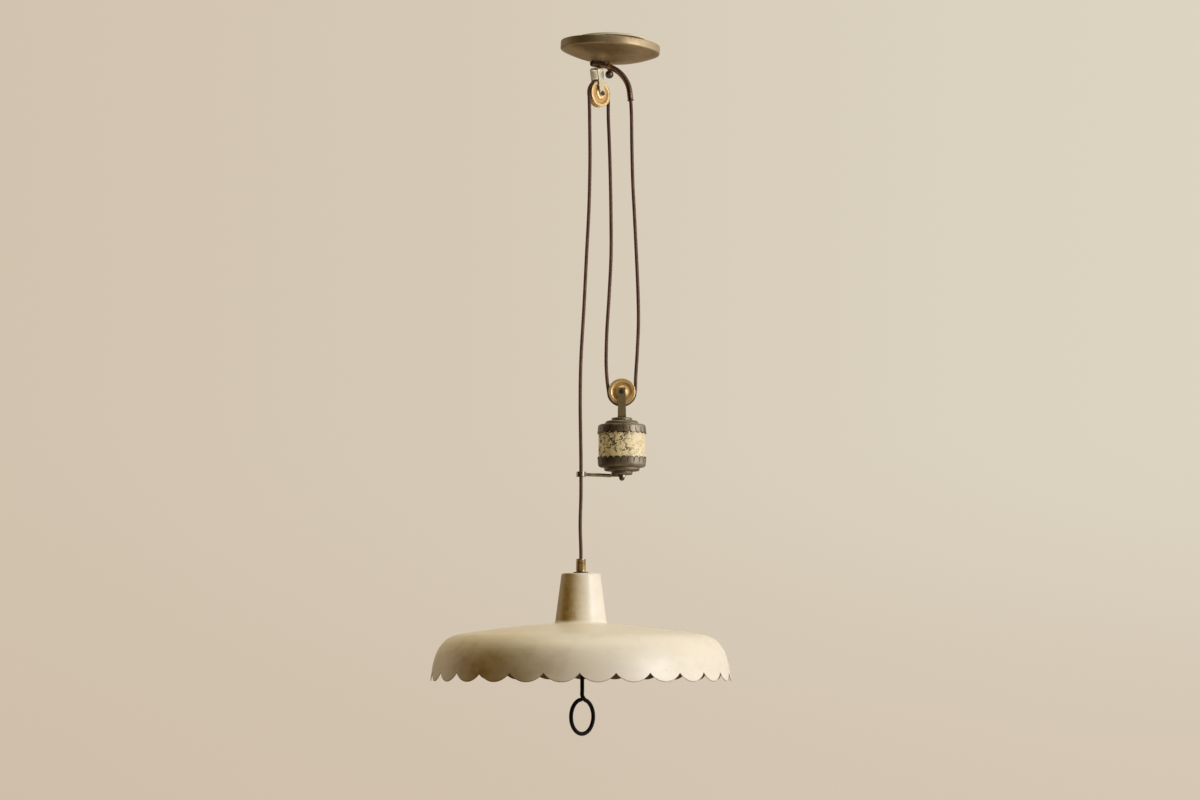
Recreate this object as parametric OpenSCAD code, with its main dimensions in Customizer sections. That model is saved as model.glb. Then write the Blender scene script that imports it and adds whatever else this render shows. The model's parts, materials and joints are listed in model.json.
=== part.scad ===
// Rise and fall pendant. One fabric cord runs from the ceiling through a bent arm, down
// round a counterweight's pulley, up over a fixed pulley and down to the lamp, so that the
// counterweight moves half as far as the lamp and the other way.
// Sizes are in millimetres. The origin is the centre of the ceiling plate's upper face,
// +Z is up, +X runs from the lamp to the counterweight and -Y faces the front.

/* [Ceiling plate] */
// Diameter of the ceiling plate
plate_d = 116; // [112:1:124]
// Thickness of the ceiling plate
plate_t = 3; // [2.5:0.5:4]
// Distance between the centres of the two screw slots
slot_spacing = 60; // [54:1:70]
// Length of each screw slot from end to end
slot_len = 14; // [10:1:18]
// Width of each screw slot
slot_w = 5; // [4:0.5:6]
// Diameter of the stud and of the saddle's stem
stud_d = 5; // [4:0.5:6]

/* [Canopy] */
// Outer diameter of the canopy
canopy_d = 148.5; // [140:0.5:160]
// Height of the canopy's straight rim
canopy_rim_h = 10.5; // [9:0.5:14]
// Depth of the dish below the rim
canopy_dish_h = 16.5; // [14:0.5:20]
// Sheet thickness of the canopy
canopy_t = 1; // [0.8:0.1:1.4]
// How far the canopy leans on its stem, in degrees
canopy_lean = 3.6; // [0:0.2:3.6]
// Its turn towards the front, degrees
canopy_pitch = 2.2; // [0:0.2:2.2]

/* [Arm] */
// Outer diameter of the arm tube
arm_d = 8.8; // [8.4:0.1:9.4]
// Inner diameter of the arm tube
arm_bore = 6.8; // [6.6:0.1:7.2]
// Depth of the arm's centre line below the ceiling, under the stem
arm_drop = 39.8; // [37.8:0.2:42]
// Radius of the arm's bend
arm_bend_r = 46.5; // [44:0.5:52]
// Length of the arm's straight tail
arm_tail = 17; // [16:1:22]
// Length of the arm's straight mouth
arm_mouth = 12; // [8:1:20]
// Diameter of the ball nut under the arm
ball_d = 12.5; // [11:0.5:14]

/* [Pulleys] */
// Radius from the axle to the centre of the cord
cord_path_r = 19.8; // [18.5:0.1:20.2]
// Outer radius of a pulley's flanges
flange_r = 20.3; // [19.8:0.1:20.8]
// Width of a pulley
wheel_w = 12; // [11:0.5:13]
// Diameter of the axles
axle_d = 4; // [3.5:0.5:5]
// Thickness of the yoke straps
strap_t = 1.8; // [1.5:0.1:2.2]
// Width of the top yoke at its axle
top_strap_w = 9; // [8:0.5:11]
// Width of the top yoke at its bridge
top_bridge_w = 12; // [11:0.5:14]
// Distance from the top axle to the top of the yoke's bridge
top_yoke_h = 39.8; // [38:0.1:44]
// Turn of the top pulley about the vertical, in degrees
top_yaw = 45; // [30:1:60]
// Lean of the top yoke about its axle, in degrees
top_lean = 7; // [0:1:8]
// Width of the counterweight's yoke
low_strap_w = 12.6; // [11:0.1:14]

/* [Cord] */
// Diameter of the fabric cord
cord_d = 5.2; // [4:0.1:5.4]

/* [Counterweight] */
// Distance of the counterweight's axis from the stem, along X
weight_x = 18.5; // [16:0.1:22]
// Distance of the counterweight's axis behind the stem, along Y
weight_y = 6; // [2:0.5:8]
// Depth of the counterweight's axle below the ceiling
weight_drop = 533.5; // [500:0.1:560]
// Outer diameter of the enamelled sleeve
sleeve_d = 69.8; // [64:0.2:76]
// Height of the weight between the caps' shoulders
weight_h = 65; // [54:0.2:72]
// Sheet thickness of the caps and the sleeve
weight_t = 0.8; // [0.6:0.1:1.2]
// Height of the top cap's scalloped skirt
cap_skirt_h = 14.6; // [11:0.2:16]
// Height of the bottom cap's scalloped skirt
low_skirt_h = 15.6; // [12:0.2:17]
// Number of scallops round a cap
cap_scallops = 22; // [18:1:26]
// Depth of a cap's scallops
cap_scallop_h = 4.6; // [3:0.1:4.8]
// Diameter of the tie rod through the counterweight
tie_d = 5; // [4:0.5:6]

/* [Guide arm] */
// Diameter of the guide arm's rod
guide_rod_d = 5.2; // [3.6:0.1:5.4]
// How much higher the guide arm's eye is than its hub
guide_rise = 1.4; // [0:0.2:4]
// Outer diameter of the guide arm's eye
guide_eye_d = 14.2; // [14:0.2:18]
// Height of the guide arm's eye
guide_eye_h = 7.4; // [6:0.2:9]

/* [Lamp] */
// Distance of the lamp's axis from the stem, along X
lamp_x = -42.5; // [-48:0.5:-38]
// Distance of the lamp's axis behind the stem, along Y
lamp_y = -8; // [-10:0.5:-6]
// Depth of the cord grip's top below the ceiling
lamp_drop = 784; // [740:1:820]
// Diameter of the cord grip
grip_d = 14.6; // [14:0.2:18]
// Height of the cord grip
grip_h = 19.5; // [18:0.1:26]
// Diameter of the washer under the grip
washer_d = 22.4; // [20:0.2:28]
// Thickness of the washer under the grip
washer_t = 2; // [1:0.2:3]
// Outer diameter of the threaded lamp tube
lamp_tube_d = 10; // [9:0.5:11]

/* [Neck cover] */
// Height of the neck cover
neck_h = 74; // [65:1:90]
// Radius of the neck cover's side at its top
neck_top_r = 29.2; // [26:0.2:32]
// Radius of the neck cover's side above its foot
neck_low_r = 37.6; // [36:0.2:38.4]
// Radius of the neck cover's foot
neck_foot_r = 40.6; // [40:0.2:41.6]

/* [Shade] */
// Diameter of the shade across its rim
shade_d = 444; // [420:1:480]
// Height of the shade from the rim to the neck's seat
shade_h = 84; // [82:1:100]
// Sheet thickness of the shade and the neck cover
shade_t = 0.9; // [0.8:0.1:1.5]
// Number of scallops round the rim
rim_scallops = 27; // [22:1:30]
// Depth of the rim's scallops
rim_scallop_h = 13; // [8:0.5:13]

/* [Pull ring] */
// Diameter of the pull rod and ring wire
pull_wire_d = 5.2; // [4:0.2:6]
// Outer diameter of the pull ring
pull_ring_d = 56.5; // [48:0.5:64]
// Distance from the rim's tips down to the middle of the ring
pull_drop = 53; // [50:1:70]
// Distance of the pull rod from the lamp's axis, along X
pull_x = 2; // [-3:0.5:3]
// Turn of the ring about the vertical, in degrees
pull_yaw = 50; // [0:5:80]

/* [Hidden] */
$fn = 72;

// Clearances and small thicknesses
fit = 0.05;          // between a round piece and the hole that it sits in
play = 0.3;          // between two pieces that only lie next to each other
over = 1;            // by how much a cut runs past the face that it opens
thin = 0.05;         // flat left at the bottom of a scallop
draw_in = 0.04;      // by how much the arm's wall thins in its bend
wheel_play = 0.5;    // between a pulley and its yoke, on each side
groove_play = 0.25;  // between the cord and a pulley's groove

// Colours
brass = [0.72, 0.58, 0.32];
bronze = [0.33, 0.28, 0.2];
aged_brass = [0.55, 0.47, 0.32];
steel = [0.62, 0.62, 0.6];
cream = [0.86, 0.8, 0.64];
black = [0.08, 0.07, 0.07];
cloth = [0.24, 0.14, 0.11];
porcelain = [0.93, 0.92, 0.88];

// ---- Shared shapes ----

// A ring or washer from z = 0 up
module ring(r_out, r_in, h) {
    difference() {
        cylinder(r = r_out, h = h);
        translate([0, 0, -over]) cylinder(r = r_in, h = h + 2 * over);
    }
}

// A hexagonal nut across its flats, from z = 0 up
module hex_nut(flats, r_in, h) {
    difference() {
        cylinder(d = flats / cos(30), h = h, $fn = 6);
        translate([0, 0, -over]) cylinder(r = r_in, h = h + 2 * over);
    }
}

// A ball with a flat top at the given height over its centre and a blind hole from above
module ball_with_seat(r, flat_z, hole_r, hole_depth) {
    difference() {
        sphere(r = r);
        translate([-r, -r, flat_z]) cube(2 * r);
        translate([0, 0, flat_z - hole_depth]) cylinder(r = hole_r, h = hole_depth + over);
    }
}

// A rectangle whose two upper corners are rounded
module round_top_2d(half_w, low, high, r) {
    translate([-half_w, low]) square([2 * half_w, high - low - r]);
    translate([-half_w + r, low]) square([2 * (half_w - r), high - low]);
    for (side = [-1, 1]) translate([side * (half_w - r), high - r]) circle(r = r);
}

// The side view of a strap bent over into a U: open below, its bridge's top at height
module bent_strap_2d(half_gap, low, height) {
    inner_r = strap_t;
    difference() {
        round_top_2d(half_gap + strap_t, low, height, inner_r + strap_t);
        round_top_2d(half_gap, low - over, height - strap_t, inner_r);
    }
}

// The space between two lobes of a scalloped edge whose tips are at z = 0
module scallop_notch(chord, depth, r_in, r_out) {
    lobe_r = (pow(depth, 2) + pow(chord / 2, 2)) / (2 * depth);
    translate([r_in, 0, 0]) rotate([90, 0, 90]) linear_extrude(r_out - r_in) difference() {
        translate([-chord / 2, -over]) square([chord, depth + 2 * over]);
        for (side = [-1, 1]) translate([side * chord / 2, lobe_r - thin]) circle(r = lobe_r);
    }
}

// Cuts lobes into the lower edge of the shell that it is given; one notch is at the turn
module scalloped(count, depth, edge_r, r_in, turn) {
    difference() {
        children();
        for (i = [0 : count - 1]) rotate([0, 0, turn + i * 360 / count])
            scallop_notch(2 * edge_r * sin(180 / count), depth, r_in, edge_r + over);
    }
}

// A cubic curve through its ends a and d, and the same curve moved sideways by depth
function bezier(a, b, c, d, t) =
    pow(1 - t, 3) * a + 3 * pow(1 - t, 2) * t * b + 3 * (1 - t) * t * t * c + t * t * t * d;
function bezier_slope(a, b, c, d, t) =
    3 * (pow(1 - t, 2) * (b - a) + 2 * (1 - t) * t * (c - b) + t * t * (d - c));
function left_of(v) = [-v[1], v[0]] / norm(v);
function bezier_beside(a, b, c, d, t, depth) =
    bezier(a, b, c, d, t) + depth * left_of(bezier_slope(a, b, c, d, t));
function steps(count) = [for (i = [1 : count]) i / count];
function backwards(list) = [for (i = [len(list) - 1 : -1 : 0]) list[i]];

// ---- Ceiling plate and canopy ----

plate_r = plate_d / 2;
stud_r = stud_d / 2;
head_r = 6;          // the stud's flat head, sunk flush with the plate's upper face
head_h = 1.4;
nut_flats = 8;
nut_h = 4;
stem_top = -22;      // the upper end of the saddle's stem
coupling_h = 14;
coupling_z = stem_top - coupling_h / 2;
anchor_x = -35;      // the middle of the cord anchor
anchor_l = 10;
anchor_w = 20;
anchor_screw_y = 7;
anchor_screw_r = 1.5;
anchor_cord_z = -12.5;
anchor_h = 6;        // of the clamp below the cord
terminal_l = 14;
terminal_w = 20;
terminal_h = 13;
terminal_gap = 1;    // between the anchor and the terminal block
terminal_x = anchor_x - anchor_l / 2 - terminal_gap - terminal_l;
canopy_r = canopy_d / 2;
dish_r = (pow(canopy_r, 2) + pow(canopy_dish_h, 2)) / (2 * canopy_dish_h);
canopy_seat = -arm_drop + 7.3;  // the outside of the dish's lowest point
canopy_hole_r = stud_r + 0.6;
canopy_nut_r = 3.9;
canopy_nut_h = 1.2;
grommet_x = -13;     // where the cord leaves the canopy, measured in the canopy
grommet_hole_r = 5.5;
grommet_r_in = 4.9;
grommet_r_out = 6.4;

module ceiling_plate() {
    color(steel) difference() {
        translate([0, 0, -plate_t]) cylinder(r = plate_r, h = plate_t);
        translate([0, 0, -plate_t - over]) cylinder(r = stud_r + fit, h = plate_t + 2 * over);
        translate([0, 0, -head_h]) cylinder(r = head_r + fit, h = head_h + over);
        for (side = [-1, 1]) translate([0, side * slot_spacing / 2, -plate_t - over])
            plate_slot(plate_t + 2 * over);
        for (side = [-1, 1]) translate([anchor_x, side * anchor_screw_y, -plate_t - over])
            cylinder(r = anchor_screw_r + fit, h = plate_t + 2 * over);
    }
}

// One screw slot, along Y
module plate_slot(h) {
    half = (slot_len - slot_w) / 2;
    for (end = [-1, 1]) translate([0, end * half, 0]) cylinder(d = slot_w, h = h);
    translate([-slot_w / 2, -half, 0]) cube([slot_w, 2 * half, h]);
}

module ceiling_stud() {
    color(steel) {
        translate([0, 0, -head_h]) cylinder(r = head_r, h = head_h);
        translate([0, 0, stem_top]) cylinder(r = stud_r, h = -stem_top - head_h / 2);
    }
}

module stud_nut() {
    color(steel) translate([0, 0, -plate_t - nut_h]) hex_nut(nut_flats, stud_r + fit, nut_h);
}

module coupling_nut() {
    color(steel) translate([0, 0, coupling_z]) difference() {
        cylinder(d = nut_flats / cos(30), h = coupling_h, $fn = 6);
        translate([0, 0, -over]) cylinder(r = stud_r + fit, h = coupling_h + 2 * over);
    }
}

// Everything of the canopy is drawn with the dish's lowest point at the origin
module on_canopy() {
    translate([0, 0, canopy_seat]) rotate([canopy_pitch, canopy_lean, 0]) children();
}

// The height of the dish's outside at a radius
function dish_z(r) = dish_r - sqrt(pow(dish_r, 2) - pow(r, 2));

module canopy() {
    color(aged_brass) on_canopy() difference() {
        rotate_extrude() {
            intersection() {
                translate([0, dish_r]) difference() {
                    circle(r = dish_r);
                    circle(r = dish_r - canopy_t);
                }
                square([canopy_r, canopy_dish_h]);
            }
            translate([canopy_r - canopy_t, canopy_dish_h - canopy_t / 2])
                square([canopy_t, canopy_rim_h + canopy_t / 2]);
        }
        translate([0, 0, -over]) cylinder(r = canopy_hole_r, h = canopy_t + 2 * over);
        on_grommet() translate([0, 0, -over])
            cylinder(r = grommet_hole_r, h = canopy_t + 2 * over);
    }
}

// On the outside of the dish where the cord passes, square to the sheet
module on_grommet() {
    translate([grommet_x, 0, dish_z(grommet_x)]) rotate([0, asin(grommet_x / -dish_r), 0])
        children();
}

module canopy_grommet() {
    lip = 0.8;
    color(black) on_canopy() on_grommet() difference() {
        union() {
            translate([0, 0, -lip - fit]) cylinder(r = grommet_r_out, h = lip);
            translate([0, 0, -lip]) cylinder(r = grommet_hole_r - fit, h = canopy_t + 2 * lip);
            translate([0, 0, canopy_t + 4 * fit]) cylinder(r = grommet_r_out, h = lip);
        }
        translate([0, 0, -lip - over]) cylinder(r = grommet_r_in, h = canopy_t + 4 * over);
    }
}

module canopy_nut() {
    color(brass) translate([0, 0, canopy_seat - play - canopy_nut_h])
        ring(canopy_nut_r, stud_r + fit, canopy_nut_h);
}

module cord_anchor() {
    color(black) difference() {
        translate([anchor_x - anchor_l / 2, -anchor_w / 2, anchor_cord_z])
            cube([anchor_l, anchor_w, -plate_t - anchor_cord_z]);
        anchor_bores();
    }
}

module anchor_clamp() {
    color(black) difference() {
        translate([anchor_x - anchor_l / 2, -anchor_w / 2, anchor_cord_z - anchor_h])
            cube([anchor_l, anchor_w, anchor_h - play]);
        anchor_bores();
    }
}

// The cord's channel and the two screw holes of the anchor
module anchor_bores() {
    translate([anchor_x - anchor_l, 0, anchor_cord_z]) rotate([0, 90, 0])
        cylinder(d = cord_d + 4 * fit, h = 2 * anchor_l);
    for (side = [-1, 1]) translate([anchor_x, side * anchor_screw_y, 3 * anchor_cord_z])
        cylinder(r = anchor_screw_r + fit, h = -3 * anchor_cord_z);
}

module anchor_screws() {
    head_low = anchor_cord_z - anchor_h - 1.5;
    color(steel) for (side = [-1, 1]) translate([anchor_x, side * anchor_screw_y, 0]) {
        translate([0, 0, head_low]) cylinder(r = 2 * anchor_screw_r, h = 1.5);
        translate([0, 0, head_low]) cylinder(r = anchor_screw_r, h = -head_low - play);
    }
}

// Two-way block with a wire hole and a screw well for each core
module terminal_block() {
    pitch = terminal_w / 2;
    color(porcelain) translate([terminal_x, 0, -plate_t - terminal_h]) difference() {
        translate([0, -terminal_w / 2, 0]) cube([terminal_l, terminal_w, terminal_h]);
        for (side = [-1, 1]) translate([0, side * pitch / 2, 0]) {
            translate([-over, 0, terminal_h / 2]) rotate([0, 90, 0])
                cylinder(d = 3.6, h = terminal_l / 2);
            translate([terminal_l / 2, 0, -over]) cylinder(d = 4.4, h = terminal_h / 2);
        }
    }
}

// ---- Arm ----

arm_r = arm_d / 2;
slope_tail = 9;       // of the arm's tail below the horizontal, in degrees
slope_stem = 19.5;    // of the arm under the stem
slope_mouth = 84;     // of the arm's mouth
bend_x = -arm_bend_r * sin(slope_stem);
bend_z = -arm_drop - arm_bend_r * cos(slope_stem);
saddle_w = 4;
saddle_wall = 1;
saddle_r = arm_r + saddle_wall;
saddle_cone_r = 3.3;
ball_r = ball_d / 2;
ball_flat = ball_r * 0.75;
ball_gap = 0.1;       // between the ball nut and the arm
spigot_r = 1.8;
spigot_l = 5;
cord_slot_x = -9.5;   // the middle of the slot that lets the cord into the arm
cord_slot_l = 12;
cord_slot_w = 6;
mouth_lip = 1;
cord_r = cord_d / 2;

// The ball's centre is as high under the arm's bend as its clearance lets it be
ball_z = bend_z + sqrt(pow(arm_bend_r - arm_r - ball_r - ball_gap, 2) - pow(bend_x, 2));
ball_top = ball_z + ball_flat;

// The arm's centre line at a slope along its bend, and the ends of its straight parts
function arm_at(slope) =
    [bend_x + arm_bend_r * sin(slope), 0, bend_z + arm_bend_r * cos(slope)];
function along(slope) = [cos(slope), 0, -sin(slope)];
arm_tail_end = arm_at(slope_tail) - arm_tail * along(slope_tail);
arm_mouth_end = arm_at(slope_mouth) + arm_mouth * along(slope_mouth);

// At a point of the arm, with local +Z along it towards the mouth
module on_arm(point, slope) {
    translate(point) rotate([0, 90 + slope, 0]) children();
}

// Follows the whole arm with a round rod, or with a tube if its bore has a radius. The bend
// is drawn a hair thinner than the straight lengths, which reach a little way into it.
module arm_length(r, bore = 0) {
    into = 0.3;
    on_arm(arm_tail_end, slope_tail) straight_length(r, bore, arm_tail + into);
    translate([bend_x, 0, bend_z]) rotate([90, 0, 0]) rotate([0, 0, 90 - slope_mouth])
        rotate_extrude(angle = slope_mouth - slope_tail) translate([arm_bend_r, 0])
            round_section(r - draw_in, bore > 0 ? bore + draw_in : 0);
    on_arm(arm_at(slope_mouth) - into * along(slope_mouth), slope_mouth)
        straight_length(r, bore, arm_mouth + into);
}
module straight_length(r, bore, h) {
    linear_extrude(h) round_section(r, bore);
}
module round_section(r, bore) {
    difference() {
        circle(r = r);
        if (bore > 0) circle(r = bore);
    }
}

module arm_tube() {
    color(bronze) difference() {
        arm_length(arm_r, arm_bore / 2);
        translate([cord_slot_x - cord_slot_l / 2, -cord_slot_w / 2, -arm_drop + 1])
            cube([cord_slot_l, cord_slot_w, 2 * arm_d]);
        on_top_block() translate([0, 0, top_yoke_h])
            cylinder(r = hanger_r + fit, h = 2 * arm_d);
    }
}

module arm_end_cap() {
    cap_r = arm_r + 0.2;
    plug_l = 2.2;
    color(black) on_arm(arm_tail_end, slope_tail) {
        intersection() {
            sphere(r = cap_r);
            translate([0, 0, -2 * cap_r]) cylinder(r = 2 * cap_r, h = 2 * cap_r);
        }
        translate([0, 0, -over]) cylinder(r = arm_bore / 2 - fit, h = plug_l + over);
    }
}

module arm_mouth_bush() {
    sleeve_l = 5;
    color(black) on_arm(arm_mouth_end, slope_mouth) difference() {
        union() {
            cylinder(r = arm_r + 0.5, h = mouth_lip);
            translate([0, 0, -sleeve_l]) cylinder(r = arm_bore / 2 - fit, h = sleeve_l + over / 2);
        }
        translate([0, 0, -2 * sleeve_l]) cylinder(r = cord_r + 2 * fit, h = 3 * sleeve_l);
    }
}

// Band round the arm with its stem above and a cone with a spigot below
module arm_saddle() {
    color(brass) difference() {
        union() {
            on_arm([0, 0, -arm_drop], slope_stem) translate([0, 0, -saddle_w / 2])
                cylinder(r = saddle_r, h = saddle_w);
            translate([0, 0, -arm_drop + arm_r]) cylinder(r = stud_r, h = arm_drop - arm_r + stem_top);
            translate([0, 0, ball_top])
                cylinder(r1 = saddle_cone_r, r2 = stud_r * 0.9, h = -arm_drop - arm_r - ball_top);
            translate([0, 0, ball_top - spigot_l]) cylinder(r = spigot_r, h = spigot_l + 1);
        }
        arm_length(arm_r + fit + draw_in);
    }
}

module ball_nut() {
    color(bronze) translate([0, 0, ball_z])
        ball_with_seat(ball_r, ball_flat, spigot_r + fit, spigot_l + 0.5);
}

// ---- Pulleys and yokes ----

wheel_half = wheel_w / 2;
half_gap = wheel_half + wheel_play;
axle_r = axle_d / 2;
bush_r = axle_r + 1.6;
hub_r = 11.2;
recess_r = 13.8;
recess_depth = 2.4;
rim_half = 5.2;
axle_head_r = axle_r + 1.6;
axle_head_h = 1.5;
hanger_x = -19.6;     // where the top yoke hangs, from the stem
hanger_top = -41.35;  // the upper face of the top yoke's bridge
hanger_r = 1.5;
hanger_head_r = 3.2;

// The top pulley's frame: axle along Y at the origin, the yoke's bridge above it
hang_axis = [-sin(top_lean) * cos(top_yaw), -sin(top_lean) * sin(top_yaw), cos(top_lean)];
top_centre = [hanger_x, 0, hanger_top] - top_yoke_h * hang_axis;
weight_centre = [weight_x, weight_y, -weight_drop];
module on_top_wheel() {
    translate(top_centre) rotate([0, 0, top_yaw]) children();
}
module on_top_block() {
    on_top_wheel() rotate([0, -top_lean, 0]) children();
}
module on_weight() {
    translate(weight_centre) children();
}

// Turns a shape of revolution about Z onto the axle
module about_axle() {
    rotate([90, 0, 0]) children();
}

// One half of the wheel's section: hub, recess and rim
function wheel_side(side) = [
    [bush_r + fit, side * wheel_half],
    [hub_r, side * wheel_half],
    [hub_r + 1.2, side * (wheel_half - recess_depth)],
    [recess_r, side * (wheel_half - recess_depth)],
    [recess_r + 2, side * rim_half],
    [flange_r - 0.8, side * rim_half],
    [flange_r, side * (rim_half - 0.8)]
];

module wheel_body() {
    color(brass) about_axle() rotate_extrude() difference() {
        polygon(concat(wheel_side(-1), backwards(wheel_side(1))));
        translate([cord_path_r, 0]) circle(r = cord_r + groove_play);
    }
}

module wheel_bush() {
    length = wheel_w + wheel_play;
    color(steel) about_axle() translate([0, 0, -length / 2])
        ring(bush_r, axle_r + fit, length);
}

// Axle with a domed head in front and a riveted end behind
module axle() {
    outer = half_gap + strap_t;
    color(bronze) about_axle() {
        translate([0, 0, -outer - 0.8]) cylinder(r = axle_r, h = 2 * outer + 0.8 + fit);
        translate([0, 0, outer + fit]) intersection() {
            cylinder(r = axle_head_r, h = axle_head_h);
            translate([0, 0, axle_head_h - 2.5 * axle_head_r]) sphere(r = 2.5 * axle_head_r);
        }
    }
}

module axle_hole() {
    about_axle() translate([0, 0, -2 * wheel_w]) cylinder(r = axle_r + fit, h = 4 * wheel_w);
}

// A bent strap whose outline in front view is given as a child
module bent_strap(low, height) {
    intersection() {
        rotate([90, 0, 90]) linear_extrude(4 * low_strap_w, center = true)
            bent_strap_2d(half_gap, low, height);
        about_axle() linear_extrude(8 * wheel_w, center = true) children();
    }
}

// The bridge has a shallow seat for the arm
module top_yoke() {
    bridge_low = top_yoke_h - 6;
    color(aged_brass) difference() {
        on_top_block() bent_strap(-top_strap_w, top_yoke_h) {
            circle(d = top_strap_w);
            polygon([
                [-top_strap_w / 2, 0], [top_strap_w / 2, 0],
                [top_bridge_w / 2, bridge_low], [top_bridge_w / 2, top_yoke_h + over],
                [-top_bridge_w / 2, top_yoke_h + over], [-top_bridge_w / 2, bridge_low]
            ]);
        }
        on_top_block() axle_hole();
        on_top_block() translate([0, 0, top_yoke_h - 2 * strap_t])
            cylinder(r = hanger_r + fit, h = 4 * strap_t);
        arm_length(arm_r + fit + draw_in);
    }
}

module top_axle() {
    on_top_block() axle();
}

// Rivet that goes up through the bridge and the arm, its head under the bridge
module hanger_pin() {
    rivet_l = strap_t + arm_d + 0.6;
    color(steel) on_top_block() translate([0, 0, top_yoke_h - strap_t]) {
        translate([0, 0, -1.5 - fit]) cylinder(r = hanger_head_r, h = 1.5);
        translate([0, 0, -1]) cylinder(r = hanger_r, h = rivet_l + 1);
    }
}

module top_wheel() {
    on_top_wheel() wheel_body();
}

module top_wheel_bush() {
    on_top_wheel() wheel_bush();
}

// ---- Counterweight, drawn from its axle down ----

strap_above = 6;                       // of the weight's yoke above the axle
yoke_low = -39.2;                      // the underside of the weight's yoke
disc_r = 15.4;
disc_h = 4.5;
disc_edge = 1.5;
step_h = 5;
step_r = 25;
step_edge = 4;
shoulder_z = yoke_low - disc_h - step_h;
shoulder_drop = 5;                     // from the shoulder to the skirt's straight part
sleeve_r = sleeve_d / 2;
cap_r_in = sleeve_r + fit;             // inside the skirt's upper end
cap_flare = 0.9;
top_cap_turn = -88;                    // of one notch of each cap, from the +X side
low_cap_turn = -77;
cap_edge_r = cap_r_in + cap_flare + weight_t;
tie_r = tie_d / 2;
low_shoulder_z = shoulder_z - weight_h;
low_step_r = 26.5;
low_step_h = 5.2;
foot_r = 16;
foot_h = 5.6;
foot_edge = 2.4;                       // of the bottom cap's steps
foot_z = low_shoulder_z - low_step_h - foot_h;
hub_h = 3;
guide_z = foot_z - hub_h / 2;
tie_nut_flats = 8;
tie_nut_h = 4;
tie_ball_r = 4.3;
tie_ball_flat = 1.6;

// Section of a cap: its shoulder's top at z = 0, its skirt down, moved inwards by depth
function cap_outline(depth, top_r, skirt) = [
    [cap_edge_r - depth, -skirt],
    [cap_r_in + weight_t - depth, -shoulder_drop],
    [cap_r_in + weight_t - 0.9 - depth, -shoulder_drop / 2 + 0.3 - depth * 0.3],
    [cap_r_in + weight_t - 3.2 - depth * 0.6, -0.4 - depth],
    [top_r - depth * 0.3, -depth]
];

module cap_shell(top_r, skirt, turn) {
    scalloped(cap_scallops, cap_scallop_h, cap_edge_r, cap_edge_r / 2, turn)
        translate([0, 0, skirt]) rotate_extrude() polygon(concat(
            [[tie_r + fit, 0]], backwards(cap_outline(0, top_r, skirt)),
            cap_outline(weight_t, top_r, skirt), [[tie_r + fit, -weight_t]]
        ));
}

// A solid turned step with a rounded edge, from z = 0 up
module turned_step(r, h, edge) {
    rotate_extrude() {
        translate([tie_r + fit, 0]) square([r - tie_r - fit - edge, h]);
        translate([tie_r + fit, 0]) square([r - tie_r - fit, h - edge]);
        intersection() {
            translate([r - edge, h - edge]) circle(r = edge);
            square([r, h]);
        }
    }
}

module weight_yoke() {
    half_w = low_strap_w / 2;
    color(bronze) on_weight() difference() {
        mirror([0, 0, 1]) bent_strap(-strap_above, -yoke_low)
            polygon([
                [-half_w + 1, -strap_above], [half_w - 1, -strap_above],
                [half_w, -yoke_low + over], [-half_w, -yoke_low + over]
            ]);
        axle_hole();
        translate([0, 0, yoke_low - over]) cylinder(r = tie_r + fit, h = 4 * strap_t);
    }
}

module weight_axle() {
    on_weight() axle();
}

module weight_wheel() {
    on_weight() wheel_body();
}

module weight_wheel_bush() {
    on_weight() wheel_bush();
}

module yoke_nut() {
    color(steel) on_weight() translate([0, 0, yoke_low + strap_t])
        hex_nut(tie_nut_flats, tie_r + fit, tie_nut_h);
}

module yoke_disc() {
    color(aged_brass) on_weight() translate([0, 0, yoke_low - disc_h])
        turned_step(disc_r, disc_h, disc_edge);
}

module weight_top_cap() {
    color(bronze) on_weight() translate([0, 0, shoulder_z]) {
        translate([0, 0, -cap_skirt_h]) cap_shell(step_r, cap_skirt_h, top_cap_turn);
        translate([0, 0, -thin]) turned_step(step_r, step_h + thin, step_edge);
    }
}

module weight_bottom_cap() {
    color(bronze) on_weight() translate([0, 0, low_shoulder_z]) mirror([0, 0, 1]) {
        translate([0, 0, -low_skirt_h]) cap_shell(low_step_r, low_skirt_h, low_cap_turn);
        translate([0, 0, -thin]) turned_step(low_step_r, low_step_h + thin, foot_edge);
        translate([0, 0, low_step_h - thin]) turned_step(foot_r, foot_h + thin, foot_edge);
    }
}

// The sleeve's ends stop under the caps' shoulders
module weight_sleeve() {
    end_gap = shoulder_drop;
    color(cream) on_weight() translate([0, 0, low_shoulder_z + end_gap])
        ring(sleeve_r, sleeve_r - weight_t, weight_h - 2 * end_gap);
}

module weight_slug() {
    slug_r = sleeve_r - weight_t - fit;
    chamfer = shoulder_drop;
    slug_h = weight_h - 2 * weight_t - 2 * play;
    color(bronze) on_weight() translate([0, 0, low_shoulder_z + weight_t + play])
        rotate_extrude() polygon([
            [tie_r + 2 * fit, 0], [slug_r - chamfer, 0], [slug_r, chamfer],
            [slug_r, slug_h - chamfer], [slug_r - chamfer, slug_h], [tie_r + 2 * fit, slug_h]
        ]);
}

tie_top = yoke_low + strap_t + tie_nut_h + 1.2;
tie_foot = foot_z - hub_h;             // where the ball nut seats
tie_end = tie_foot - tie_ball_flat - 1;

module tie_rod() {
    color(steel) on_weight() translate([0, 0, tie_end]) cylinder(r = tie_r, h = tie_top - tie_end);
}

module tie_ball_nut() {
    color(bronze) on_weight() translate([0, 0, tie_foot - tie_ball_flat])
        ball_with_seat(tie_ball_r, tie_ball_flat, tie_r + fit, tie_ball_flat + 1 + 2 * fit);
}

// ---- Guide arm ----

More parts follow.
